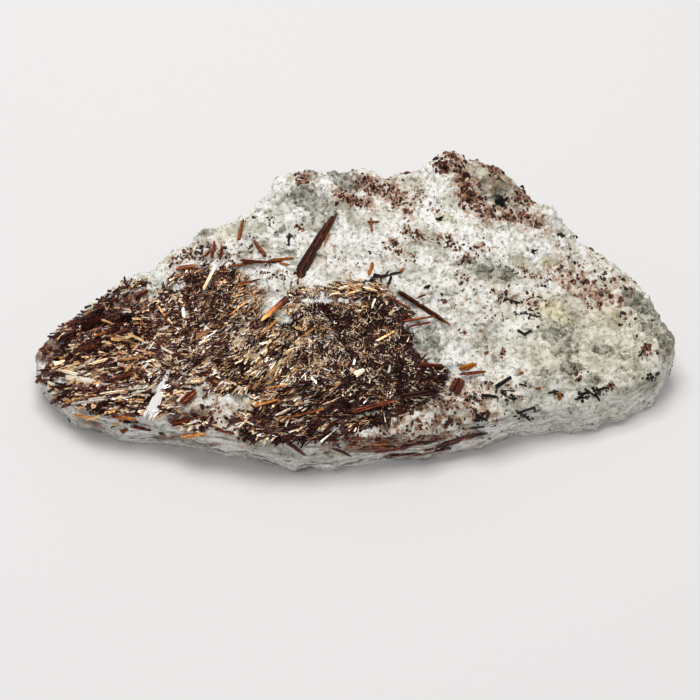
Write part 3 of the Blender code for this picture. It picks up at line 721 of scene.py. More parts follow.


# %% [markdown]
# ## Crystals that stand out
#
# The bigger blades are bundles of thin laths that lie on each other and end unevenly. Each row: start and
# end in the picture, width at the start and at the end in picture points, tone at the start and at the end,
# and how cool the colour is. Golden tones, from about 0.56, are partly own colour and partly painted glint,
# and pale and silvery tones, from about 0.8, are painted glint. A single box per blade would look like a
# splint of wood; laths show the splitting that astrophyllite has.

# %% Long blades in the felt
LONG_BLADES = [
    (149, 421, 172, 367, 14, 4, 1.25, 1.2, 0.8), (133, 425, 156, 388, 6, 5, 0.06, 0.14, 0.0),
    (82, 330, 104, 315, 13, 12, 0.04, 0.14, 0.1), (104, 322, 126, 313, 9, 8, 0.16, 0.26, 0.3),
    (62, 342, 80, 334, 9, 8, 0.10, 0.2, 0.1), (74, 350, 98, 346, 6, 6, 0.18, 0.24, 0.1),
    (134, 300, 150, 290, 7, 6, 0.14, 0.3, 0.2), (110, 340, 132, 330, 5, 5, 0.2, 0.12, 0.1),
    (180, 406, 198, 390, 8, 7, 0.24, 0.28, 0.0), (260, 324, 289, 298, 5, 6, 0.70, 0.12, 0.0),
    (66, 369, 84, 363, 4, 3, 0.80, 0.86, 0.0), (88, 366, 110, 360, 3, 3, 0.80, 0.76, 0.0),
    (118, 361, 150, 357, 2.4, 2, 0.66, 0.62, 0.0), (95, 338, 118, 330, 3, 3, 0.4, 0.3, 0.0),
    (100, 320, 116, 326, 3, 2, 0.72, 0.6, 0.0), (132, 319, 144, 319, 2.4, 2, 0.82, 0.8, 0.0),
    (155, 303, 176, 330, 2.4, 2.4, 0.56, 0.72, 0.2), (126, 335, 150, 347, 2.4, 3, 0.6, 0.84, 0.1),
    (60, 372, 82, 377, 3, 4, 0.86, 0.92, 0.1), (64, 378, 98, 384, 7, 5, 0.97, 0.92, 0.6),
    (72, 404, 110, 400, 3, 3, 0.92, 0.95, 0.6), (74, 412, 102, 418, 4, 3, 0.5, 0.75, 0.0),
    (88, 417, 104, 412, 3, 2, 0.8, 0.84, 0.0), (140, 395, 158, 381, 2.4, 2, 0.76, 0.84, 0.0),
    (190, 383, 202, 382, 3, 2.4, 0.88, 0.84, 0.0), (203, 293, 216, 268, 3, 3.4, 0.76, 0.97, 0.4),
    (161, 349, 175, 356, 2, 2, 0.95, 0.9, 0.5), (186, 320, 184, 308, 4, 3, 0.95, 0.92, 0.7),
    (240, 367, 254, 353, 2.4, 2, 0.72, 0.8, 0.0), (258, 382, 290, 352, 2.4, 2.4, 0.66, 0.8, 0.0),
    (262, 388, 282, 372, 2.4, 2, 0.74, 0.6, 0.0), (258, 392, 300, 384, 2.4, 2, 0.5, 0.74, 0.0),
    (282, 356, 294, 349, 3, 2, 0.84, 0.76, 0.0), (292, 325, 304, 329, 3, 2, 0.82, 0.86, 0.0),
    (275, 418, 292, 409, 3, 2.4, 0.97, 0.84, 0.0), (250, 408, 282, 400, 2.4, 2, 0.62, 0.5, 0.0),
    (310, 378, 318, 386, 2.4, 2, 0.9, 0.95, 0.1), (354, 377, 365, 371, 7, 5, 0.94, 0.88, 0.1),
    (353, 366, 355, 359, 2.4, 2.4, 0.95, 0.95, 0.6), (388, 376, 391, 364, 2.4, 2, 0.9, 0.86, 0.0),
    (374, 344, 398, 331, 2.4, 2, 0.8, 0.6, 0.0), (388, 316, 397, 309, 2.4, 2, 0.76, 0.84, 0.0),
    (338, 291, 350, 287, 3, 2.4, 0.82, 0.88, 0.0), (350, 288, 366, 286, 2.4, 2, 0.86, 0.74, 0.0),
    (362, 289, 378, 293, 3, 2, 0.84, 0.7, 0.0), (345, 295, 358, 292, 2.4, 2, 0.6, 0.76, 0.0),
    (366, 284, 376, 288, 2, 2, 0.9, 0.8, 0.0), (370, 309, 375, 297, 2, 2, 0.86, 0.9, 0.2),
    (346, 415, 400, 399, 5, 5, 0.26, 0.32, 0.0), (396, 399, 438, 391, 6, 5, 0.10, 0.08, 0.1),
    (385, 297, 414, 314, 2, 3, 0.30, 0.26, 0.0), (400, 323, 436, 317, 3, 2, 0.26, 0.30, 0.0),
    (402, 327, 434, 321, 2, 2, 0.28, 0.32, 0.0), (427, 294, 414, 299, 2, 2, 0.34, 0.3, 0.0),
    (170, 424, 192, 419, 6, 6, 0.26, 0.30, 0.0), (182, 434, 210, 430, 6, 4, 0.56, 0.60, 0.0),
    (322, 434, 336, 420, 4, 3, 0.16, 0.2, 0.0), (236, 262, 272, 264, 4, 3, 0.26, 0.32, 0.0),
    (176, 271, 200, 267, 5, 4, 0.36, 0.42, 0.1), (457, 377, 488, 373, 4, 3, 0.28, 0.32, 0.0),
    (420, 366, 444, 367, 4, 3, 0.30, 0.34, 0.0), (236, 288, 262, 282, 3, 2, 0.56, 0.3, 0.0),
    (228, 320, 252, 300, 2, 2.4, 0.3, 0.6, 0.0), (300, 340, 330, 318, 2, 2, 0.56, 0.4, 0.0),
    (282, 420, 330, 408, 2.4, 2, 0.3, 0.5, 0.0), (256, 344, 282, 318, 2, 2, 0.5, 0.7, 0.0),
    (212, 262, 216, 242, 4, 3, 0.34, 0.4, 0.0), (219, 264, 223, 247, 3, 3, 0.3, 0.36, 0.0),
    (204, 259, 212, 251, 3, 2, 0.36, 0.4, 0.0), (110, 383, 142, 372, 3, 3, 0.2, 0.3, 0.0),
    (100, 396, 128, 392, 3, 2, 0.88, 0.8, 0.2), (110, 414, 140, 418, 3, 3, 0.4, 0.62, 0.0),
]


def bundles(name, rows, ground, thickness=0.2, proud=0.25, overlap=1.5):
    """Bundles of laths in one mesh. The laths of a bundle step down to its edges and end unevenly. ground
    gives the spot under a point of the picture. thickness is a lath's in mm, proud how far it stands out in
    mm, and overlap how many laths lie over each place."""
    laths = []
    for x0, y0, x1, y1, width0, width1, tone0, tone1, cool in rows:
        start, end = ground(x0, y0), ground(x1, y1)
        normals_here = [calm_normal(x0, y0), calm_normal(x1, y1)]
        if start is None or end is None or None in normals_here:
            continue
        normal = (normals_here[0] + normals_here[1]).normalized()
        hump = 0.0
        for share in (0.25, 0.5, 0.75):
            between = ground(x0 + (x1 - x0) * share, y0 + (y1 - y0) * share)
            if between is not None:
                hump = max(hump, (between - start.lerp(end, share)).dot(normal))
        along = end - start
        across = normal.cross(along).normalized()
        count = max(2, round(0.95 * width0))
        full0, full1 = width0 / POINTS_PER_MM * MM, width1 / POINTS_PER_MM * MM
        for number in range(count):
            place = number / (count - 1) - 0.5
            offset = place * (1 - overlap / (count + 1))
            inner = 1 - 2 * abs(place)
            near = start + along * random.uniform(0, 0.22 - 0.12 * inner) + across * (offset * full0)
            far = end - along * random.uniform(0, 0.28 - 0.2 * inner) + across * (offset * full1)
            lift = min(hump, 0.5 * MM) * 0.7 + (proud + 0.15 * inner + random.uniform(-0.08, 0.08)) * MM
            shift = random.gauss(0, 0.07)
            laths.append((
                (near + far) / 2 + normal * lift, far - near, normal + across * random.uniform(-0.35, 0.35),
                (far - near).length, (full0 + full1) / 2 * overlap / (count + 1),
                thickness * MM * (0.8 + 0.4 * inner), tone0 + shift, tone1 + shift, cool, full1 / full0))
    columns = [np.array(column) for column in zip(*laths)]
    middles, alongs, flats, lengths, widths, thicknesses, tones, far_tones, cools, tapers = columns
    piece = plates(name, PLATE, middles, alongs, flats, lengths, widths, thicknesses, tones, cools, tapers)
    along = np.zeros(len(piece.data.vertices), dtype=np.float32)
    piece.data.attributes["along"].data.foreach_get("value", along)
    blend = np.repeat(tones, 12) + np.repeat(far_tones - tones, 12) * along
    piece.data.attributes["tone"].data.foreach_set("value", blend.astype(np.float32))
    print(name, len(tones), "laths")
    return piece


long_blades = bundles("long_blades", LONG_BLADES, bed_or_rock, proud=0.7)

# %% [markdown]
# ## Plates in the side, strewn blades and free blades
#
# The lower side shows the edges of brown mica plates, which lie almost flush in the rock. Above, the felt
# is strewn in four kinds: broad laths and fine fibres on its coarse left half, short splinters on the dense
# right half, and a few wide flakes. Twenty blades and amber flakes lie free in the white rock. All of
# them use the two functions above with other rows.

# %% Brown plates in the layered side
SIDE_PLATES = [
    (346, 444, 392, 441, 6, 5, 0.48, 0.40, 0.2), (356, 449, 399, 448, 4, 5, 0.30, 0.44, 0.3),
    (350, 441, 400, 436, 4, 4, 0.22, 0.32, 0.5), (372, 453, 412, 447, 4, 4, 0.40, 0.30, 0.4),
    (404, 442, 440, 434, 4, 3, 0.34, 0.22, 0.6), (420, 450, 462, 440, 4, 3, 0.38, 0.30, 0.6),
    (440, 444, 476, 436, 3, 3, 0.22, 0.32, 0.5), (392, 446, 424, 441, 4, 4, 0.48, 0.36, 0.4),
    (340, 440, 366, 438, 3, 4, 0.24, 0.34, 0.3), (362, 447, 386, 445, 4, 4, 0.36, 0.50, 0.3),
    (400, 446, 446, 438, 5, 4, 0.24, 0.34, 0.6), (412, 454, 452, 446, 3, 4, 0.34, 0.26, 0.6),
    (384, 456, 420, 452, 3, 2, 0.16, 0.24, 0.4), (300, 437, 342, 440, 5, 4, 0.34, 0.16, 0.1),
    (262, 432, 298, 437, 5, 4, 0.20, 0.34, 0.1), (330, 447, 352, 456, 3, 2, 0.14, 0.2, 0.3),
    (286, 441, 306, 455, 4, 3, 0.22, 0.28, 0.2), (456, 438, 490, 432, 3, 3, 0.3, 0.2, 0.5),
    (240, 424, 262, 430, 5, 4, 0.30, 0.24, 0.1), (214, 428, 236, 434, 4, 3, 0.24, 0.4, 0.1),
    (158, 432, 176, 436, 4, 3, 0.14, 0.24, 0.2), (130, 426, 152, 430, 4, 3, 0.36, 0.2, 0.1),
]
side_plates = bundles("side_plates", SIDE_PLATES, bare_rock, proud=-0.02, overlap=3.0)

# %% Strewn blades
blades_left = strewn_blades(
    "blades_left", 5200, (30, 250, 245, 446), LATH, size=1.3, width=0.85, bright=0.95, rise=(0.0, 0.22))
fibres_left = strewn_blades(
    "fibres_left", 5000, (30, 250, 245, 446), SPLINTER, size=0.8, width=0.45, bright=1.1, rise=(0.1, 0.4))
blades_right = strewn_blades(
    "blades_right", 24500, (235, 262, 460, 450), SPLINTER, size=1.6, width=0.75, bright=1.15, brown=0.27)
flakes = strewn_blades(
    "flakes", 700, (34, 270, 300, 432), PLATE, size=1.1, width=1.0, bright=0.4, rise=(0.1, 0.4), turn=0.35)

# %% Free blades and amber flakes in the white rock
FREE_BLADES = [
    (291, 289, 336, 210, 13.0, 8.0, 0.10, 0.18, 0.0), (322, 251, 331, 227, 2.2, 1.6, 0.60, 0.5, 0.0),
    (297, 283, 303, 272, 2.4, 1.6, 0.46, 0.36, 0.0), (396, 290, 452, 326, 5.0, 4.5, 0.26, 0.34, 0.0),
    (229, 267, 262, 262, 2.6, 3.0, 0.34, 0.42, 0.0), (279, 263, 292, 266, 2.4, 2.0, 0.40, 0.36, 0.0),
    (238, 245, 244, 220, 4.0, 3.2, 0.36, 0.34, 0.0), (253, 240, 267, 258, 3.4, 4.6, 0.36, 0.36, 0.0),
    (266, 262, 295, 259, 4.6, 4.2, 0.34, 0.44, 0.0), (372, 233, 371, 218, 3.0, 2.6, 0.40, 0.42, 0.0),
    (367, 222, 380, 222, 2.0, 2.0, 0.34, 0.34, 0.0), (453, 395, 461, 379, 13.0, 12.0, 0.14, 0.22, 0.0),
    (247, 252, 253, 244, 2.0, 2.0, 0.34, 0.34, 0.0), (373, 276, 381, 276, 4.0, 3.6, 0.16, 0.10, 0.4),
    (379, 277, 389, 275, 3.4, 3.0, 0.08, 0.10, 0.4), (389, 275, 401, 272, 2.6, 2.4, 0.10, 0.20, 0.1),
    (400, 273, 405, 267, 2.6, 2.4, 0.26, 0.54, 0.0), (392, 275, 388, 286, 3.0, 2.2, 0.22, 0.18, 0.1),
    (388, 283, 388, 290, 2.0, 1.4, 0.20, 0.26, 0.2), (380, 276, 382, 283, 2.0, 1.6, 0.12, 0.16, 0.5),
]
AMBER = [
    (369, 277, 374, 262, 3.4, 4.0, 0.56, 0.50, 0.0), (458, 370, 477, 365, 5.0, 6.0, 0.50, 0.62, 0.0),
    (558, 392, 560, 400, 4.5, 4.0, 0.60, 0.50, 0.0), (535, 388, 541, 388, 3.0, 3.0, 0.50, 0.5, 0.0),
    (484, 354, 489, 352, 3.5, 3.0, 0.56, 0.5, 0.0), (519, 373, 524, 373, 3.0, 2.4, 0.50, 0.6, 0.0),
    (121, 432, 128, 428, 6.0, 4.0, 0.36, 0.40, 0.0), (484, 394, 491, 397, 3.0, 2.4, 0.50, 0.56, 0.0),
]
free_blades = bundles("free_blades", FREE_BLADES, bare_rock, proud=0.1, overlap=3.0)
amber_flakes = bundles("amber_flakes", AMBER, bare_rock, proud=0.05, overlap=2.0)

# %% [markdown]
# ## Grains
#
# Red-brown and black grains sit in the white rock: thickly in some bands, thinly elsewhere. A spotted
# texture would do from afar, but real flecks catch the light one by one. Each row: a line of places in the
# picture, how far the grains stray from it, their number, and their size in millimetres.

# %% Grains on the face
BROWN_GRAINS = [
    ([(450, 150), (449, 154)], 6, 40, 0.7), ([(440, 160), (446, 172)], 7, 36, 0.6),
    ([(452, 156), (464, 178), (472, 190), (478, 204)], 9, 110, 0.65),
    ([(458, 188), (466, 204)], 6, 24, 0.6), ([(482, 210), (500, 215), (520, 213), (540, 226)], 7, 90, 0.55),
    ([(488, 164), (510, 176)], 7, 56, 0.6), ([(516, 190), (530, 205)], 7, 56, 0.55),
    ([(386, 182), (396, 196), (409, 207)], 9, 80, 0.5), ([(40, 345), (50, 358)], 6, 34, 0.7),
    ([(118, 307), (136, 298)], 5, 26, 0.7), ([(338, 193), (352, 200), (370, 205)], 5, 80, 0.5),
    ([(360, 180), (382, 192)], 7, 66, 0.5), ([(371, 189)], 4, 12, 0.5),
    ([(296, 178), (308, 179)], 5, 40, 0.55), ([(320, 169)], 3, 8, 0.45), ([(299, 228)], 4, 12, 0.5),
    ([(406, 229), (420, 236)], 6, 36, 0.5), ([(390, 242), (402, 256)], 6, 36, 0.5),
    ([(414, 256)], 3, 8, 0.45), ([(432, 205), (442, 214)], 5, 16, 0.4),
    ([(437, 237), (449, 242), (462, 248)], 5, 36, 0.5), ([(457, 262), (475, 251), (486, 244)], 5, 30, 0.5),
    ([(452, 272), (468, 279)], 5, 18, 0.45), ([(449, 305), (438, 295)], 4, 9, 0.4),
    ([(494, 290)], 3, 8, 0.4), ([(500, 295), (520, 302), (545, 300)], 6, 50, 0.45),
    ([(520, 272), (550, 282)], 7, 40, 0.4), ([(559, 272), (580, 282), (598, 298)], 11, 64, 0.6),
    ([(602, 276), (629, 288)], 7, 26, 0.6), ([(604, 292), (618, 305), (629, 319)], 9, 26, 0.6),
    ([(490, 318), (539, 317)], 4, 12, 0.4), ([(459, 333), (470, 332)], 3, 10, 0.4),
    ([(504, 353)], 4, 12, 0.5), ([(578, 376)], 5, 14, 0.5), ([(646, 348)], 5, 18, 0.7),
    ([(637, 354), (657, 353)], 4, 14, 0.5), ([(611, 386)], 4, 14, 0.5),
    ([(170, 262), (190, 256), (215, 246)], 7, 60, 0.45), ([(220, 252), (240, 262)], 8, 40, 0.45),
    ([(262, 268), (296, 282)], 6, 36, 0.4), ([(196, 412), (240, 420), (250, 432)], 10, 90, 0.5),
    ([(380, 408), (440, 402), (480, 398)], 9, 110, 0.45),
    ([(330, 442), (400, 440), (470, 432)], 6, 90, 0.45), ([(265, 384), (272, 396)], 7, 16, 0.4),
    ([(412, 186), (424, 205)], 8, 24, 0.35), ([(480, 380), (520, 392)], 9, 40, 0.4),
    ([(385, 428), (440, 421), (490, 414)], 7, 70, 0.55), ([(330, 250), (360, 268)], 12, 18, 0.3),
    ([(560, 245), (600, 268)], 9, 30, 0.35), ([(470, 290), (480, 330)], 14, 24, 0.3),
]
BLACK_GRAINS = [
    ([(579, 397), (606, 391)], 4, 20, 0.5), ([(516, 417), (535, 411)], 4, 16, 0.5),
    ([(480, 417)], 4, 12, 0.6), ([(501, 202)], 5, 26, 0.7), ([(561, 235)], 3, 8, 0.6),
    ([(591, 243)], 3, 7, 0.6), ([(642, 380), (656, 375)], 3, 12, 0.5), ([(535, 251)], 2, 3, 0.5),
    ([(251, 235)], 2, 4, 0.4), ([(253, 210), (257, 223), (272, 217), (272, 226)], 3, 14, 0.4),
    ([(289, 234), (289, 245)], 2, 9, 0.5), ([(370, 252)], 2, 3, 0.4), ([(440, 219)], 2, 4, 0.5),
    ([(427, 287)], 1.5, 3, 0.45), ([(170, 266), (216, 243)], 5, 30, 0.45),
    ([(515, 310), (540, 318)], 3, 12, 0.45), ([(553, 392), (560, 396)], 3, 8, 0.45),
    ([(470, 398), (516, 397)], 4, 30, 0.45), ([(440, 425), (500, 420)], 4, 12, 0.45),
    ([(380, 430), (430, 426)], 4, 5, 0.45), ([(500, 262), (512, 272)], 3, 8, 0.4),
    ([(620, 300), (650, 330)], 8, 14, 0.4), ([(110, 303), (135, 290)], 4, 16, 0.5),
]


def along_line(line, share):
    """The place a share of the way along a line of places."""
    if len(line) == 1:
        return line[0]
    at = share * (len(line) - 1)
    number = min(int(at), len(line) - 2)
    return tuple(a + (b - a) * (at - number) for a, b in zip(line[number], line[number + 1]))


def grains(name, seats):
    """Angular flecks sunk in the surface, each with a lie of its own. seats holds (place, normal, size)."""
    middles, alongs, flats, sizes = [], [], [], []
    for spot, normal, size in seats:
        tilt = Vector((random.gauss(0, 1), random.gauss(0, 1), random.gauss(0, 1)))
        flats.append((normal + 0.35 * tilt).normalized())
        alongs.append(tilt.cross(normal).normalized())
        middles.append(spot - normal * size * 0.02 * MM)
        sizes.append(size * MM)
    sizes = np.array(sizes)
    count = len(sizes)
    piece = plates(
        name, PLATE, np.array(middles), np.array(alongs), np.array(flats),
        sizes * dice.uniform(0.8, 1.4, count), sizes * dice.uniform(0.6, 1.1, count), sizes * 0.35,
        dice.random(count), np.zeros(count), dice.uniform(0.5, 1.0, count))
    print(name, count, "flecks")
    return piece


def seats_from(rows, strays):
    """Seats of grains by the rows, and a few strays spread over the white face."""
    seats = []
    for line, spread, count, size in rows:
        for _ in range(count):
            x, y = along_line(line, random.random())
            x += random.gauss(0, spread * 0.6)
            y += random.gauss(0, spread * 0.6)
            seats.append((x, y, size * random.uniform(0.5, 1.4)))
    for _ in range(strays):
        seats.append((random.uniform(170, 670), random.uniform(160, 440), random.uniform(0.2, 0.5)))
    found = []
    for x, y, size in seats:
        spot, normal = rock_tree.ray_cast(EYE, sight(x, y))[:2]
        if spot is not None:
            found.append((spot, normal, size))
    return found


def seats_behind(count, low, high, salt):
    """Seats on the sides that the picture doesn't show, in loose clusters."""
    hidden = np.flatnonzero((facing < 0.05) & ~flat_foot & (in_mm[:, 2] > 0.8))
    clustered = hidden[soft_noise(in_mm[hidden], 6.0, salt) > dice.normal(0.34, 0.12, len(hidden))]
    chosen = dice.choice(clustered, count)
    return [
        (Vector(rock_spots[index]), Vector(outward[index]), random.uniform(low, high))
        for index in chosen]


brown_seats = seats_from(BROWN_GRAINS, 90) + seats_behind(520, 0.3, 0.9, 71)
black_seats = seats_from(BLACK_GRAINS, 40) + seats_behind(200, 0.3, 0.7, 73)
brown_grains = grains("brown_grains", brown_seats)
black_grains = grains("black_grains", black_seats)

# %% [markdown]
# ## Black prisms
#
# Aegirine grows in slim black six-sided prisms, single or crossed. A cylinder from Blender's own shapes
# would need a move, a turn and a stretch for each one. Two rings of six points along a line on the rock
# give the same prism in one step, with slanted ends. Each row: start and end in the picture, and the radius
# in millimetres.

# %% Prisms on the face
PRISMS = [
    (517.7, 330.1, 526.3, 335.5, 0.30), (523.1, 335.0, 539.2, 326.3, 0.30),
    (495.7, 387.1, 510.7, 377.4, 0.50), (482.2, 395.2, 516.6, 398.9, 0.36),
    (495.1, 391.4, 513.4, 396.2, 0.30), (583.3, 393.5, 605.9, 387.6, 0.32),
    (591.9, 387.1, 599.4, 400.5, 0.30), (584.4, 388.7, 597.3, 397.3, 0.28),
    (475.8, 414.5, 487.6, 420.4, 0.36), (477.9, 419.9, 484.4, 412.4, 0.32), (374, 274, 383, 277, 0.26),
    (381, 277, 388, 276, 0.28), (386, 277, 394, 273, 0.26), (392, 274, 402, 272, 0.20),
    (385, 276, 389, 271, 0.18), (375, 275, 371, 282, 0.18), (437, 220, 443, 217, 0.28),
    (424, 288, 430, 285, 0.24), (533, 252, 537, 250, 0.22), (519, 384, 527, 386, 0.22),
    (496, 391, 515, 391, 0.2), (548, 393, 558, 391, 0.26), (470, 428, 496, 425, 0.22),
    (520, 412, 534, 407, 0.3), (516, 410, 530, 420, 0.26), (575, 399, 590, 396, 0.24),
    (289, 234, 289, 245, 0.26), (505, 299, 520, 303, 0.26), (520, 313, 541, 317, 0.24),
    (528, 309, 540, 314, 0.2),
]


def prisms(name, rows, tree):
    """Six-sided prisms in one mesh, lying on the surface of tree, with slanted ends."""
    spots, faces = [], []
    for x0, y0, x1, y1, radius in rows:
        start, end = seat(tree, x0, y0), seat(tree, x1, y1)
        normal = calm_normal((x0 + x1) / 2, (y0 + y1) / 2)
        if start is None or end is None or normal is None:
            continue
        along = (end - start).normalized()
        side = normal.cross(along).normalized()
        rise = along.cross(side)
        first = 12 * len(spots)
        ring = []
        for end_spot, share in ((start, 1.0), (end, 0.85)):
            slant = random.uniform(-0.25, 0.25)
            for corner in range(6):
                angle = corner * math.pi / 3
                out = (side * math.cos(angle) + rise * math.sin(angle)) * 0.85 * radius * MM * share
                back = along * slant * math.cos(angle) * radius * MM
                ring.append(end_spot + out + back + normal * 0.12 * MM)
        spots.append(ring)
        faces.append(tuple(first + k for k in reversed(range(6))))
        faces.append(tuple(first + 6 + k for k in range(6)))
        for k in range(6):
            after = (k + 1) % 6
            faces.append((first + k, first + after, first + 6 + after, first + 6 + k))
    mesh = bpy.data.meshes.new(name)
    mesh.from_pydata([spot for ring in spots for spot in ring], [], faces)
    number_on(mesh, "tone", dice.random(len(mesh.vertices)))
    print(name, len(spots), "prisms")
    return object_of(name, mesh)


black_crystals = prisms("black_crystals", PRISMS, rock_tree)

# %% [markdown]
# ## Finishes
#
# Colours are given as they look on a screen and turned to linear light. Pattern sizes are real sizes: a
# scale of 1 / 0.0014 makes cells of 1.4 mm. One function adds a node, sets it and links it, so that a
# finish reads as a list of what is laid over what.


# %% Finish tools
def linear(colour):
    """A colour such as "#F4F2EC" in linear light, with full cover."""
    parts = [int(colour[at:at + 2], 16) / 255 for at in (1, 3, 5)]
    return (*(part / 12.92 if part < 0.04045 else ((part + 0.055) / 1.055) ** 2.4 for part in parts), 1)


def add(tree, kind, inputs=None, stops=(), **settings):
    """Adds a shader node with its settings. An input is a value, or another node's output to link. stops are
    the places and colours of a colour ramp."""
    node = tree.nodes.new("ShaderNode" + kind)
    for key, value in settings.items():
        setattr(node, key, value)
    for socket, value in (inputs or {}).items():
        if isinstance(value, bpy.types.NodeSocket):
            tree.links.new(value, node.inputs[socket])
        else:
            node.inputs[socket].default_value = value
    while stops and len(node.color_ramp.elements) < len(stops):
        node.color_ramp.elements.new(0.5)
    for number, (place, colour) in enumerate(stops):
        node.color_ramp.elements[number].position = place
        node.color_ramp.elements[number].color = linear(colour)
    return node


def new_finish(name):
    """A new material, its node tree and its main shader."""
    finish = bpy.data.materials.new(name)
    finish.use_nodes = True
    return finish, finish.node_tree, finish.node_tree.nodes["Principled BSDF"]


# %% [markdown]
# ## White feldspar rock
#
# Alkali feldspar and nepheline, broken with a hammer and neither cut nor polished: milky white grains with
# flat matt faces, sugary sparkle between them, and clear grey grains that look wet. An image could hold all
# this, but layers of noise and cells stay sharp at any distance. The marks on the skin say where each layer
# shows. The refractive index of feldspar is about 1.53, so the shader keeps its 1.5, and its roughness goes
# from 0.6 on the broken faces to 0.3 on the glassy grains.

# %% Marks on the rock
number_on(rock.data, "glassy", glassy)
number_on(rock.data, "olive", olive)
number_on(rock.data, "sides", sides * (0.45 + 0.55 * calm_end) * (1 - 0.6 * np.clip(glassy, 0, 1)))
number_on(rock.data, "umber", umber)
brown_bands = np.zeros(len(spots))
for line, spread, count, size in BROWN_GRAINS:
    for share in np.linspace(0, 1, 2 * len(line) + 1):
        x, y = along_line(line, share)
        reach = spread * 1.5 + 4
        near = np.exp(-((seen[:, 0] - x) ** 2 + (seen[:, 1] - y) ** 2) / reach ** 2)
        brown_bands = np.maximum(brown_bands, near * min(1, 0.2 + count * size / 50))
brown_bands = brown_bands * seen_side + unseen_side * 0.6 * ramp(soft_noise(in_mm, 6.0, 71), 0.15, 0.6)
number_on(rock.data, "specks", brown_bands)
print("points in brown bands:", int(np.sum(brown_bands > 0.5)))

# %% White grains
feldspar, tree, shader = new_finish("white feldspar, broken")
spot = add(tree, "TexCoord").outputs["Object"]
marks = {}
for name in ("glassy", "olive", "sides", "specks", "umber"):
    marks[name] = add(tree, "Attribute", attribute_name=name).outputs["Fac"]
# Clouds of milky and greyish grains 5.5 mm across, a mottle of 0.8 mm and sugary grains of 0.6 mm
cloud = add(tree, "TexNoise", {
    "Vector": spot, "Scale": 1 / 0.0055, "Detail": 9.0, "Roughness": 0.68, "Distortion": 0.5})
fine = add(tree, "TexNoise", {
    "Vector": spot, "Scale": 1 / 0.0008, "Detail": 5.0, "Roughness": 0.72, "Distortion": 0.5})
sugar = add(tree, "TexVoronoi", {"Vector": spot, "Scale": 1 / 0.0006})
own = add(tree, "SeparateColor", {"Color": sugar.outputs["Color"]})
white = add(tree, "ValToRGB", {"Fac": cloud.outputs["Fac"]}, [
    (0.28, "#A9A698"), (0.38, "#CFCBBD"), (0.45, "#ECEAE2"), (0.52, "#FBFAF6"),
    (0.70, "#FFFFFF")]).outputs["Color"]

# %% Glassy grey grains
# Grains of 1.7 mm, bent by noise of 2.5 mm so that no edge is straight. Whole grains turn grey where the
# marks say, so a glassy patch ends at the edges of grains.
bent = add(tree, "TexNoise", {"Vector": spot, "Scale": 1 / 0.0025, "Detail": 4.0}).outputs["Color"]
bent = add(
    tree, "VectorMath", {0: bent, 1: (0.0022, 0.0022, 0.0022), 2: spot},
    operation="MULTIPLY_ADD").outputs[0]
crystals = add(tree, "TexVoronoi", {"Vector": bent, "Scale": 1 / 0.0017})
crystal_own = add(tree, "SeparateColor", {"Color": crystals.outputs["Color"]}).outputs["Red"]
glass = add(
    tree, "Math", {0: crystal_own, 1: 0.55, 2: marks["glassy"]}, operation="MULTIPLY_ADD").outputs[0]
glass = add(tree, "Math", {0: cloud.outputs["Fac"], 1: -1.2, 2: glass}, operation="MULTIPLY_ADD").outputs[0]
glass = add(
    tree, "MapRange", {"Value": glass, "From Min": 0.14, "From Max": 0.24, "To Max": 0.92}).outputs["Result"]
depth = add(
    tree, "Math", {0: crystal_own, 1: 0.3, 2: fine.outputs["Fac"]}, operation="MULTIPLY_ADD").outputs[0]
grey = add(tree, "ValToRGB", {"Fac": depth}, [
    (0.42, "#45433A"), (0.55, "#757265"), (0.68, "#A09D8E"), (0.84, "#D4D1C6")]).outputs["Color"]
faces = add(tree, "ValToRGB", {"Fac": crystal_own}, [
    (0.0, "#D6D3C6"), (0.3, "#F6F5F1"), (0.6, "#FFFFFF"), (1.0, "#FFFFFF")]).outputs["Color"]
white = add(tree, "Mix", {0: 0.8, 6: white, 7: faces}, data_type="RGBA", blend_type="MULTIPLY").outputs[2]
colour = add(tree, "Mix", {0: glass, 6: white, 7: grey}, data_type="RGBA").outputs[2]

# %% Fine mottle, grains with painted sparkle, and stain
mottle = add(tree, "ValToRGB", {"Fac": fine.outputs["Fac"]}, [
    (0.31, "#5A5648"), (0.39, "#AAA698"), (0.45, "#ECEAE3"), (0.50, "#FFFFFF"),
    (0.8, "#FFFFFF")]).outputs["Color"]
colour = add(
    tree, "Mix", {0: 0.95, 6: colour, 7: mottle}, data_type="RGBA", blend_type="MULTIPLY").outputs[2]
# Sugary grains of 0.6 mm, some greyer at random: partly their own tone, partly painted sparkle
grain_and_painted_sparkle = add(tree, "ValToRGB", {"Fac": own.outputs["Red"]}, [
    (0.0, "#B4B2A8"), (0.22, "#F4F3F0"), (1.0, "#FFFFFF")]).outputs["Color"]
colour = add(
    tree, "Mix", {0: 0.7, 6: colour, 7: grain_and_painted_sparkle}, data_type="RGBA", blend_type="MULTIPLY").outputs[2]
stain = add(tree, "Math", {0: marks["olive"], 1: cloud.outputs["Fac"]}, operation="MULTIPLY").outputs[0]
stain = add(tree, "Math", {0: stain, 1: 1.9}, operation="MULTIPLY").outputs[0]
colour = add(
    tree, "Mix", {0: stain, 6: colour, 7: linear("#E0D5AA")},
    data_type="RGBA", blend_type="MULTIPLY").outputs[2]

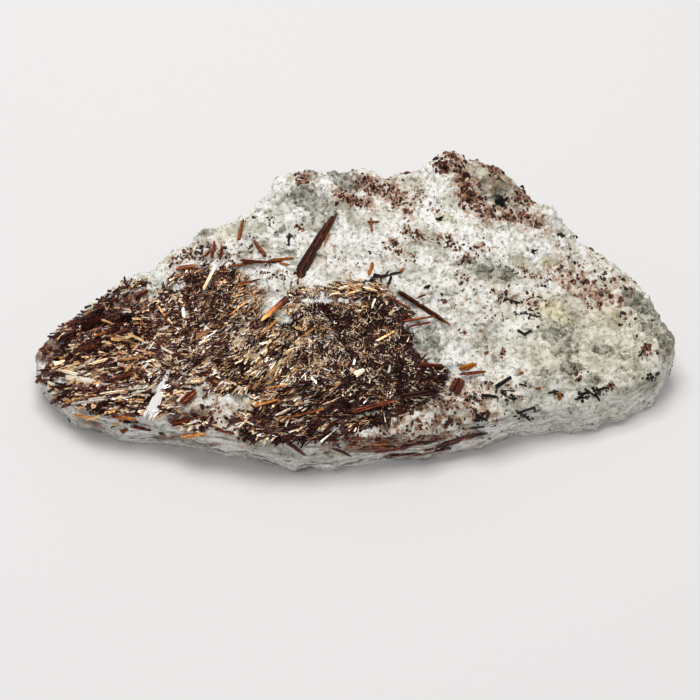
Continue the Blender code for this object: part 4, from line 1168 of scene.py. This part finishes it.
# %% Layered sides
# Stripes that lie flat: 9 mm long and 0.8 mm high
flat = add(tree, "Mapping", {"Vector": spot, "Scale": (1 / 0.009, 1 / 0.009, 1 / 0.0008)})
layers = add(tree, "TexNoise", {
    "Vector": flat.outputs["Vector"], "Scale": 1.0, "Detail": 7.0, "Roughness": 0.75, "Distortion": 1.0})
bands = add(tree, "ValToRGB", {"Fac": layers.outputs["Fac"]}, [
    (0.39, "#1F1D19"), (0.44, "#55524A"), (0.47, "#B0AEA3"), (0.495, "#FFFEFB"), (0.53, "#968F83"),
    (0.55, "#ECE9E3"), (0.60, "#FFFFFF")]).outputs["Color"]
bands = add(tree, "Mix", {0: 0.35, 6: bands, 7: mottle}, data_type="RGBA", blend_type="MULTIPLY").outputs[2]
side_share = add(tree, "Math", {0: marks["sides"], 1: 0.8}, operation="MULTIPLY").outputs[0]
colour = add(tree, "Mix", {0: side_share, 6: colour, 7: bands}, data_type="RGBA").outputs[2]

# %% Brown layered ground
# The same layers in folds of tan, plum and dark brown
folds = add(
    tree, "Math", {0: crystal_own, 1: 0.22, 2: layers.outputs["Fac"]}, operation="MULTIPLY_ADD").outputs[0]
folds = add(tree, "ValToRGB", {"Fac": folds}, [
    (0.42, "#1C110E"), (0.50, "#3E2C24"), (0.56, "#6E5448"), (0.62, "#A07E54"), (0.67, "#5C4238"),
    (0.74, "#8E6E5E"), (0.84, "#C9BAA6")]).outputs["Color"]
umber_share = add(
    tree, "Math", {0: cloud.outputs["Fac"], 1: -0.7, 2: marks["umber"]},
    operation="MULTIPLY_ADD").outputs[0]
umber_share = add(
    tree, "MapRange", {"Value": umber_share, "From Min": -0.05, "From Max": 0.2, "To Max": 0.9})
colour = add(
    tree, "Mix", {0: umber_share.outputs["Result"], 6: colour, 7: folds}, data_type="RGBA").outputs[2]

# %% Red-brown clumps
# Clumps of 1.9 mm, thick where the marks say and hardly any elsewhere, each in a paler stained rim and
# with a mottle of 0.6 mm
clumps = add(tree, "TexNoise", {
    "Vector": spot, "Scale": 1 / 0.0019, "Detail": 5.0, "Roughness": 0.75, "Distortion": 0.4})
here = add(
    tree, "Math", {0: marks["specks"], 1: 0.25, 2: clumps.outputs["Fac"]},
    operation="MULTIPLY_ADD").outputs[0]
halo = add(
    tree, "MapRange", {"Value": here, "From Min": 0.60, "From Max": 0.72, "To Max": 0.6}).outputs["Result"]
colour = add(
    tree, "Mix", {0: halo, 6: colour, 7: linear("#DDBA98")},
    data_type="RGBA", blend_type="MULTIPLY").outputs[2]
share = add(
    tree, "MapRange", {"Value": here, "From Min": 0.70, "From Max": 0.77, "To Max": 0.8}).outputs["Result"]
tint = add(
    tree, "TexNoise", {"Vector": spot, "Scale": 1 / 0.0006, "Detail": 3.0, "Roughness": 0.7}).outputs["Fac"]
brown = add(tree, "ValToRGB", {"Fac": tint}, [
    (0.32, "#2E1812"), (0.42, "#5A362A"), (0.52, "#94684E"), (0.64, "#D2B496")]).outputs["Color"]
colour = add(tree, "Mix", {0: share, 6: colour, 7: brown}, data_type="RGBA").outputs[2]
tree.links.new(colour, shader.inputs["Base Color"])

# %% Gloss and fine bumps
gloss = add(tree, "MapRange", {"Value": glass, "To Min": 0.6, "To Max": 0.3})
tree.links.new(gloss.outputs["Result"], shader.inputs["Roughness"])
height = add(
    tree, "Math", {0: fine.outputs["Fac"], 1: 2.0, 2: own.outputs["Green"]},
    operation="MULTIPLY_ADD").outputs[0]
bump = add(tree, "Bump", {"Height": height, "Strength": 0.65, "Distance": 0.1 * MM})
tree.links.new(bump.outputs["Normal"], shader.inputs["Normal"])
rock.data.materials.append(feldspar)
print(feldspar.name, "has", len(tree.nodes), "nodes")

# %% [markdown]
# ## Astrophyllite
#
# A titanium silicate that splits like mica into thin brittle blades. The flat sides have a bronze to golden
# lustre that is nearly metallic, and the edges are dark brown. So the finish is part metal, 0.35 at most,
# with a roughness near 0.4. The colour follows a tone that each blade carries, from near black over
# red-brown to gold, which is partly the blade's own colour and partly painted glint, and on to a painted
# white glint. Stripes along the blade stand for its splitting, and lighter and darker spots along it are
# painted glints. A fully metallic shader would turn black wherever nothing bright is mirrored.


# %% Bladed finishes
def blade_finish(name, stops, metal, roughness, stripes, painted_glints, contrast):
    """A bladed finish: colour by tone, fine stripes along each blade, and painted glints as lighter spots
    along it.
    """
    finish, tree, shader = new_finish(name)
    numbers = {}
    for key in ("tone", "cool", "along", "across", "own"):
        numbers[key] = add(tree, "Attribute", attribute_name=key).outputs["Fac"]
    across = add(
        tree, "Math", {0: numbers["own"], 1: 40.0, 2: numbers["across"]},
        operation="MULTIPLY_ADD").outputs[0]
    across = add(tree, "Math", {0: across, 1: stripes}, operation="MULTIPLY").outputs[0]
    along = add(tree, "Math", {0: numbers["along"], 1: painted_glints}, operation="MULTIPLY").outputs[0]
    place = add(tree, "CombineXYZ", {"X": across, "Y": along}).outputs["Vector"]
    stripe = add(
        tree, "TexNoise", {"Vector": place, "Scale": 1.0, "Detail": 3.0},
        noise_dimensions="2D").outputs["Fac"]
    # Painted glints: the noise turns the tone lighter and darker in spots along each blade, and in stripes
    # across it for the splitting
    tone = add(
        tree, "Math", {0: stripe, 1: contrast, 2: -0.5 * contrast}, operation="MULTIPLY_ADD").outputs[0]
    tone = add(tree, "Math", {0: tone, 1: numbers["tone"]}, operation="ADD").outputs[0]
    warm = add(tree, "ValToRGB", {"Fac": tone}, stops).outputs["Color"]
    grey = add(tree, "HueSaturation", {"Saturation": 0.45, "Color": warm}).outputs["Color"]
    colour = add(tree, "Mix", {0: numbers["cool"], 6: warm, 7: grey}, data_type="RGBA").outputs[2]
    tree.links.new(colour, shader.inputs["Base Color"])
    shader.inputs["Metallic"].default_value = metal
    shader.inputs["Roughness"].default_value = roughness
    shader.inputs["Specular IOR Level"].default_value = 0.12
    bump = add(tree, "Bump", {"Height": stripe, "Strength": 0.35, "Distance": 0.05 * MM})
    tree.links.new(bump.outputs["Normal"], shader.inputs["Normal"])
    print(name, "has", len(tree.nodes), "nodes")
    return finish


# Near black to red-brown is the blades' own colour; gold is partly their colour and partly painted glint, and
# the pale end is painted glint
BLADE_TONES = [
    (0.0, "#110404"), (0.14, "#2C0F0A"), (0.28, "#522016"), (0.42, "#813B24"), (0.54, "#B26230"),
    (0.66, "#E89C44"), (0.76, "#F6CA76"), (0.87, "#FAE6BC"), (1.0, "#FFFAF0"),
]
bronze = blade_finish("astrophyllite, bronze lustre", BLADE_TONES, 0.35, 0.36, 2.5, 5.0, 1.2)
dark_brown = blade_finish("astrophyllite, dark laths", [
    (0.0, "#120403"), (0.16, "#2A0F07"), (0.30, "#4C1D0C"), (0.44, "#803E17"), (0.58, "#B66C2A"),
    (0.8, "#DDAE62"), (1.0, "#F4EBDD")], 0.2, 0.45, 3.0, 12.0, 1.25)
amber = blade_finish("astrophyllite, amber flakes", [
    (0.0, "#2A1006"), (0.35, "#6E3610"), (0.6, "#A8641E"), (0.75, "#D08E36"),
    (1.0, "#EBC886")], 0.2, 0.35, 2.0, 3.0, 0.9)
for piece in (blades_left, fibres_left, blades_right, flakes, long_blades, side_plates):
    piece.data.materials.append(bronze)
free_blades.data.materials.append(dark_brown)
amber_flakes.data.materials.append(amber)

# %% The ground of the felt
# Blades of 0.5 mm and less, too fine to model: a dark brown, darkened further as painted shade between
# the blades, with paler tips
felt_finish, tree, shader = new_finish("astrophyllite, fine felt")
spot = add(tree, "TexCoord").outputs["Object"]
fine = add(tree, "TexNoise", {"Vector": spot, "Scale": 1 / 0.0005, "Detail": 3.0, "Roughness": 0.7})
shade = add(tree, "Attribute", attribute_name="shade").outputs["Fac"]
value = add(tree, "Math", {0: shade, 1: 0.12, 2: fine.outputs["Fac"]}, operation="MULTIPLY_ADD").outputs[0]
colour = add(tree, "ValToRGB", {"Fac": value}, [
    (0.30, "#0F0706"), (0.46, "#26140F"), (0.58, "#4C3126"), (0.69, "#8C6E57"),
    (0.80, "#D6C6B0")]).outputs["Color"]
tree.links.new(colour, shader.inputs["Base Color"])
shader.inputs["Roughness"].default_value = 0.5
bump = add(tree, "Bump", {"Height": fine.outputs["Fac"], "Strength": 0.8, "Distance": 0.2 * MM})
tree.links.new(bump.outputs["Normal"], shader.inputs["Normal"])
felt_bed.data.materials.append(felt_finish)
print(felt_finish.name, "has", len(tree.nodes), "nodes")

# %% [markdown]
# ## Grains and black crystals
#
# The red-brown grains are weathered iron-rich grains, matt and speckled. The black ones and the prisms are
# aegirine, whose faces are smooth and glassy, so their roughness is low. All are opaque at this size, and a
# plain dark colour with a speckle of 0.3 mm gives that better than a clear shader would.


# %% Grain finishes
def grain_finish(name, stops, roughness):
    """A dark opaque finish: colour by the tone of each grain, with a fine speckle."""
    finish, tree, shader = new_finish(name)
    tone = add(tree, "Attribute", attribute_name="tone").outputs["Fac"]
    spot = add(tree, "TexCoord").outputs["Object"]
    speckle = add(tree, "TexNoise", {"Vector": spot, "Scale": 1 / 0.0003, "Detail": 2.0}).outputs["Fac"]
    tone = add(tree, "Math", {0: speckle, 1: 1.6, 2: tone}, operation="MULTIPLY_ADD").outputs[0]
    tone = add(tree, "Math", {0: tone, 1: 0.8}, operation="SUBTRACT").outputs[0]
    colour = add(tree, "ValToRGB", {"Fac": tone}, stops).outputs["Color"]
    tree.links.new(colour, shader.inputs["Base Color"])
    shader.inputs["Roughness"].default_value = roughness
    shader.inputs["Specular IOR Level"].default_value = 0.2
    print(name, "has", len(tree.nodes), "nodes")
    return finish


brown_grains.data.materials.append(grain_finish("red-brown grains", [
    (0.0, "#1E0F0C"), (0.35, "#44251C"), (0.7, "#6C4030"), (0.9, "#96644A"), (1.0, "#C49A78")], 0.45))
black_grains.data.materials.append(grain_finish("black grains", [
    (0.0, "#0C0C0B"), (0.6, "#1F1E1B"), (1.0, "#3A3833")], 0.35))
aegirine = grain_finish("aegirine, black and glassy", [(0.0, "#0A0B0A"), (1.0, "#1C1F1B")], 0.2)
black_crystals.data.materials.append(aegirine)

# %% [markdown]
# ## Floor, light and camera
#
# A plain pale floor, a wide soft light overhead that glints on the flat blades, and even light all round.
# More lamps would give each grain several shadows, and the picture shows only one soft one. The lens is
# chosen so that the eye stands where the places above were measured from.

# %% The studio
FLOOR_HALF = 3
SENSOR = 36
floor_mesh = bpy.data.meshes.new("floor")
corners = [(FLOOR_HALF * x, FLOOR_HALF * y, 0) for x, y in ((-1, -1), (1, -1), (1, 1), (-1, 1))]
floor_mesh.from_pydata(corners, [], [(0, 1, 2, 3)])
floor = object_of("floor", floor_mesh)
paper, tree, shader = new_finish("pale paper")
shader.inputs["Base Color"].default_value = linear("#E4E2E0")
shader.inputs["Roughness"].default_value = 0.9
floor.data.materials.append(paper)

world = bpy.data.worlds.new("even light")
world.use_nodes = True
world.node_tree.nodes["Background"].inputs["Color"].default_value = linear("#FBFCFF")
world.node_tree.nodes["Background"].inputs["Strength"].default_value = 0.48
bpy.context.scene.world = world


def soft_light(name, place, size, power, colour):
    """A square lamp at place that shines on the middle of the stone."""
    lamp = bpy.data.lights.new(name, "AREA")
    lamp.shape = "SQUARE"
    lamp.size = size
    lamp.energy = power
    lamp.color = linear(colour)[:3]
    light = bpy.data.objects.new(name, lamp)
    light.location = place
    light.rotation_euler = (Vector(place) - VIEW_MIDDLE).to_track_quat("Z", "Y").to_euler()
    bpy.context.scene.collection.objects.link(light)


soft_light("overhead", (-0.06, 0.12, 0.76), 0.4, 4.1, "#FFFFFF")

camera_data = bpy.data.cameras.new("camera")
camera_data.sensor_width = SENSOR
camera_data.lens = SENSOR * EYE_DISTANCE / (PICTURE / POINTS_PER_MM * MM)
camera_data.clip_end = 10
camera = bpy.data.objects.new("camera", camera_data)
camera.matrix_world = Matrix((RIGHT, UP, TO_EYE)).transposed().to_4x4()
camera.location = EYE
bpy.context.scene.collection.objects.link(camera)
bpy.context.scene.camera = camera
bpy.context.scene.view_settings.view_transform = "Standard"
print("lens:", round(camera_data.lens, 1), "mm")

# %% [markdown]
# ## Handing over
#
# Each piece rides on the stone and stands for the CAD nodes it covers, which are hidden. The skin
# was only a step on the way and goes first.

# %% Pieces
bpy.data.objects.remove(skin, do_unlink=True)
BLACK_NODES = [
    "aegirine_pair", "aegirine_prism", "aegirine_streak", "aegirine_sprig", "aegirine_bundle", "dark_sprig"]
BLADE_NODES = [
    "big_blade", "right_blade", "upright_blade", "short_blade", "lying_blade", "thin_needle", "mica_block"]
STANDS_FOR = {
    rock: ("feldspar_rock", ["matrix"]),
    felt_bed: ("astrophyllite", ["blade_mass"]),
    blades_left: ("astrophyllite", []),
    fibres_left: ("astrophyllite", []),
    blades_right: ("astrophyllite", []),
    flakes: ("astrophyllite", []),
    long_blades: ("astrophyllite", []),
    side_plates: ("astrophyllite", []),
    free_blades: ("astrophyllite", BLADE_NODES),
    amber_flakes: ("orange_astrophyllite", ["orange_blade", "orange_flake"]),
    brown_grains: ("astrophyllite", []),
    black_grains: ("aegirine", []),
    black_crystals: ("aegirine", BLACK_NODES),
}
for piece, (material_slot, nodes) in STANDS_FOR.items():
    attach(piece, "root")
    if nodes:
        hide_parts(*nodes)

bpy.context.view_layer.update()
triangles = {}
for piece in STANDS_FOR:
    triangles[piece.name] = sum(len(face.vertices) - 2 for face in piece.data.polygons)
print("triangles:", triangles, "in all", sum(triangles.values()))
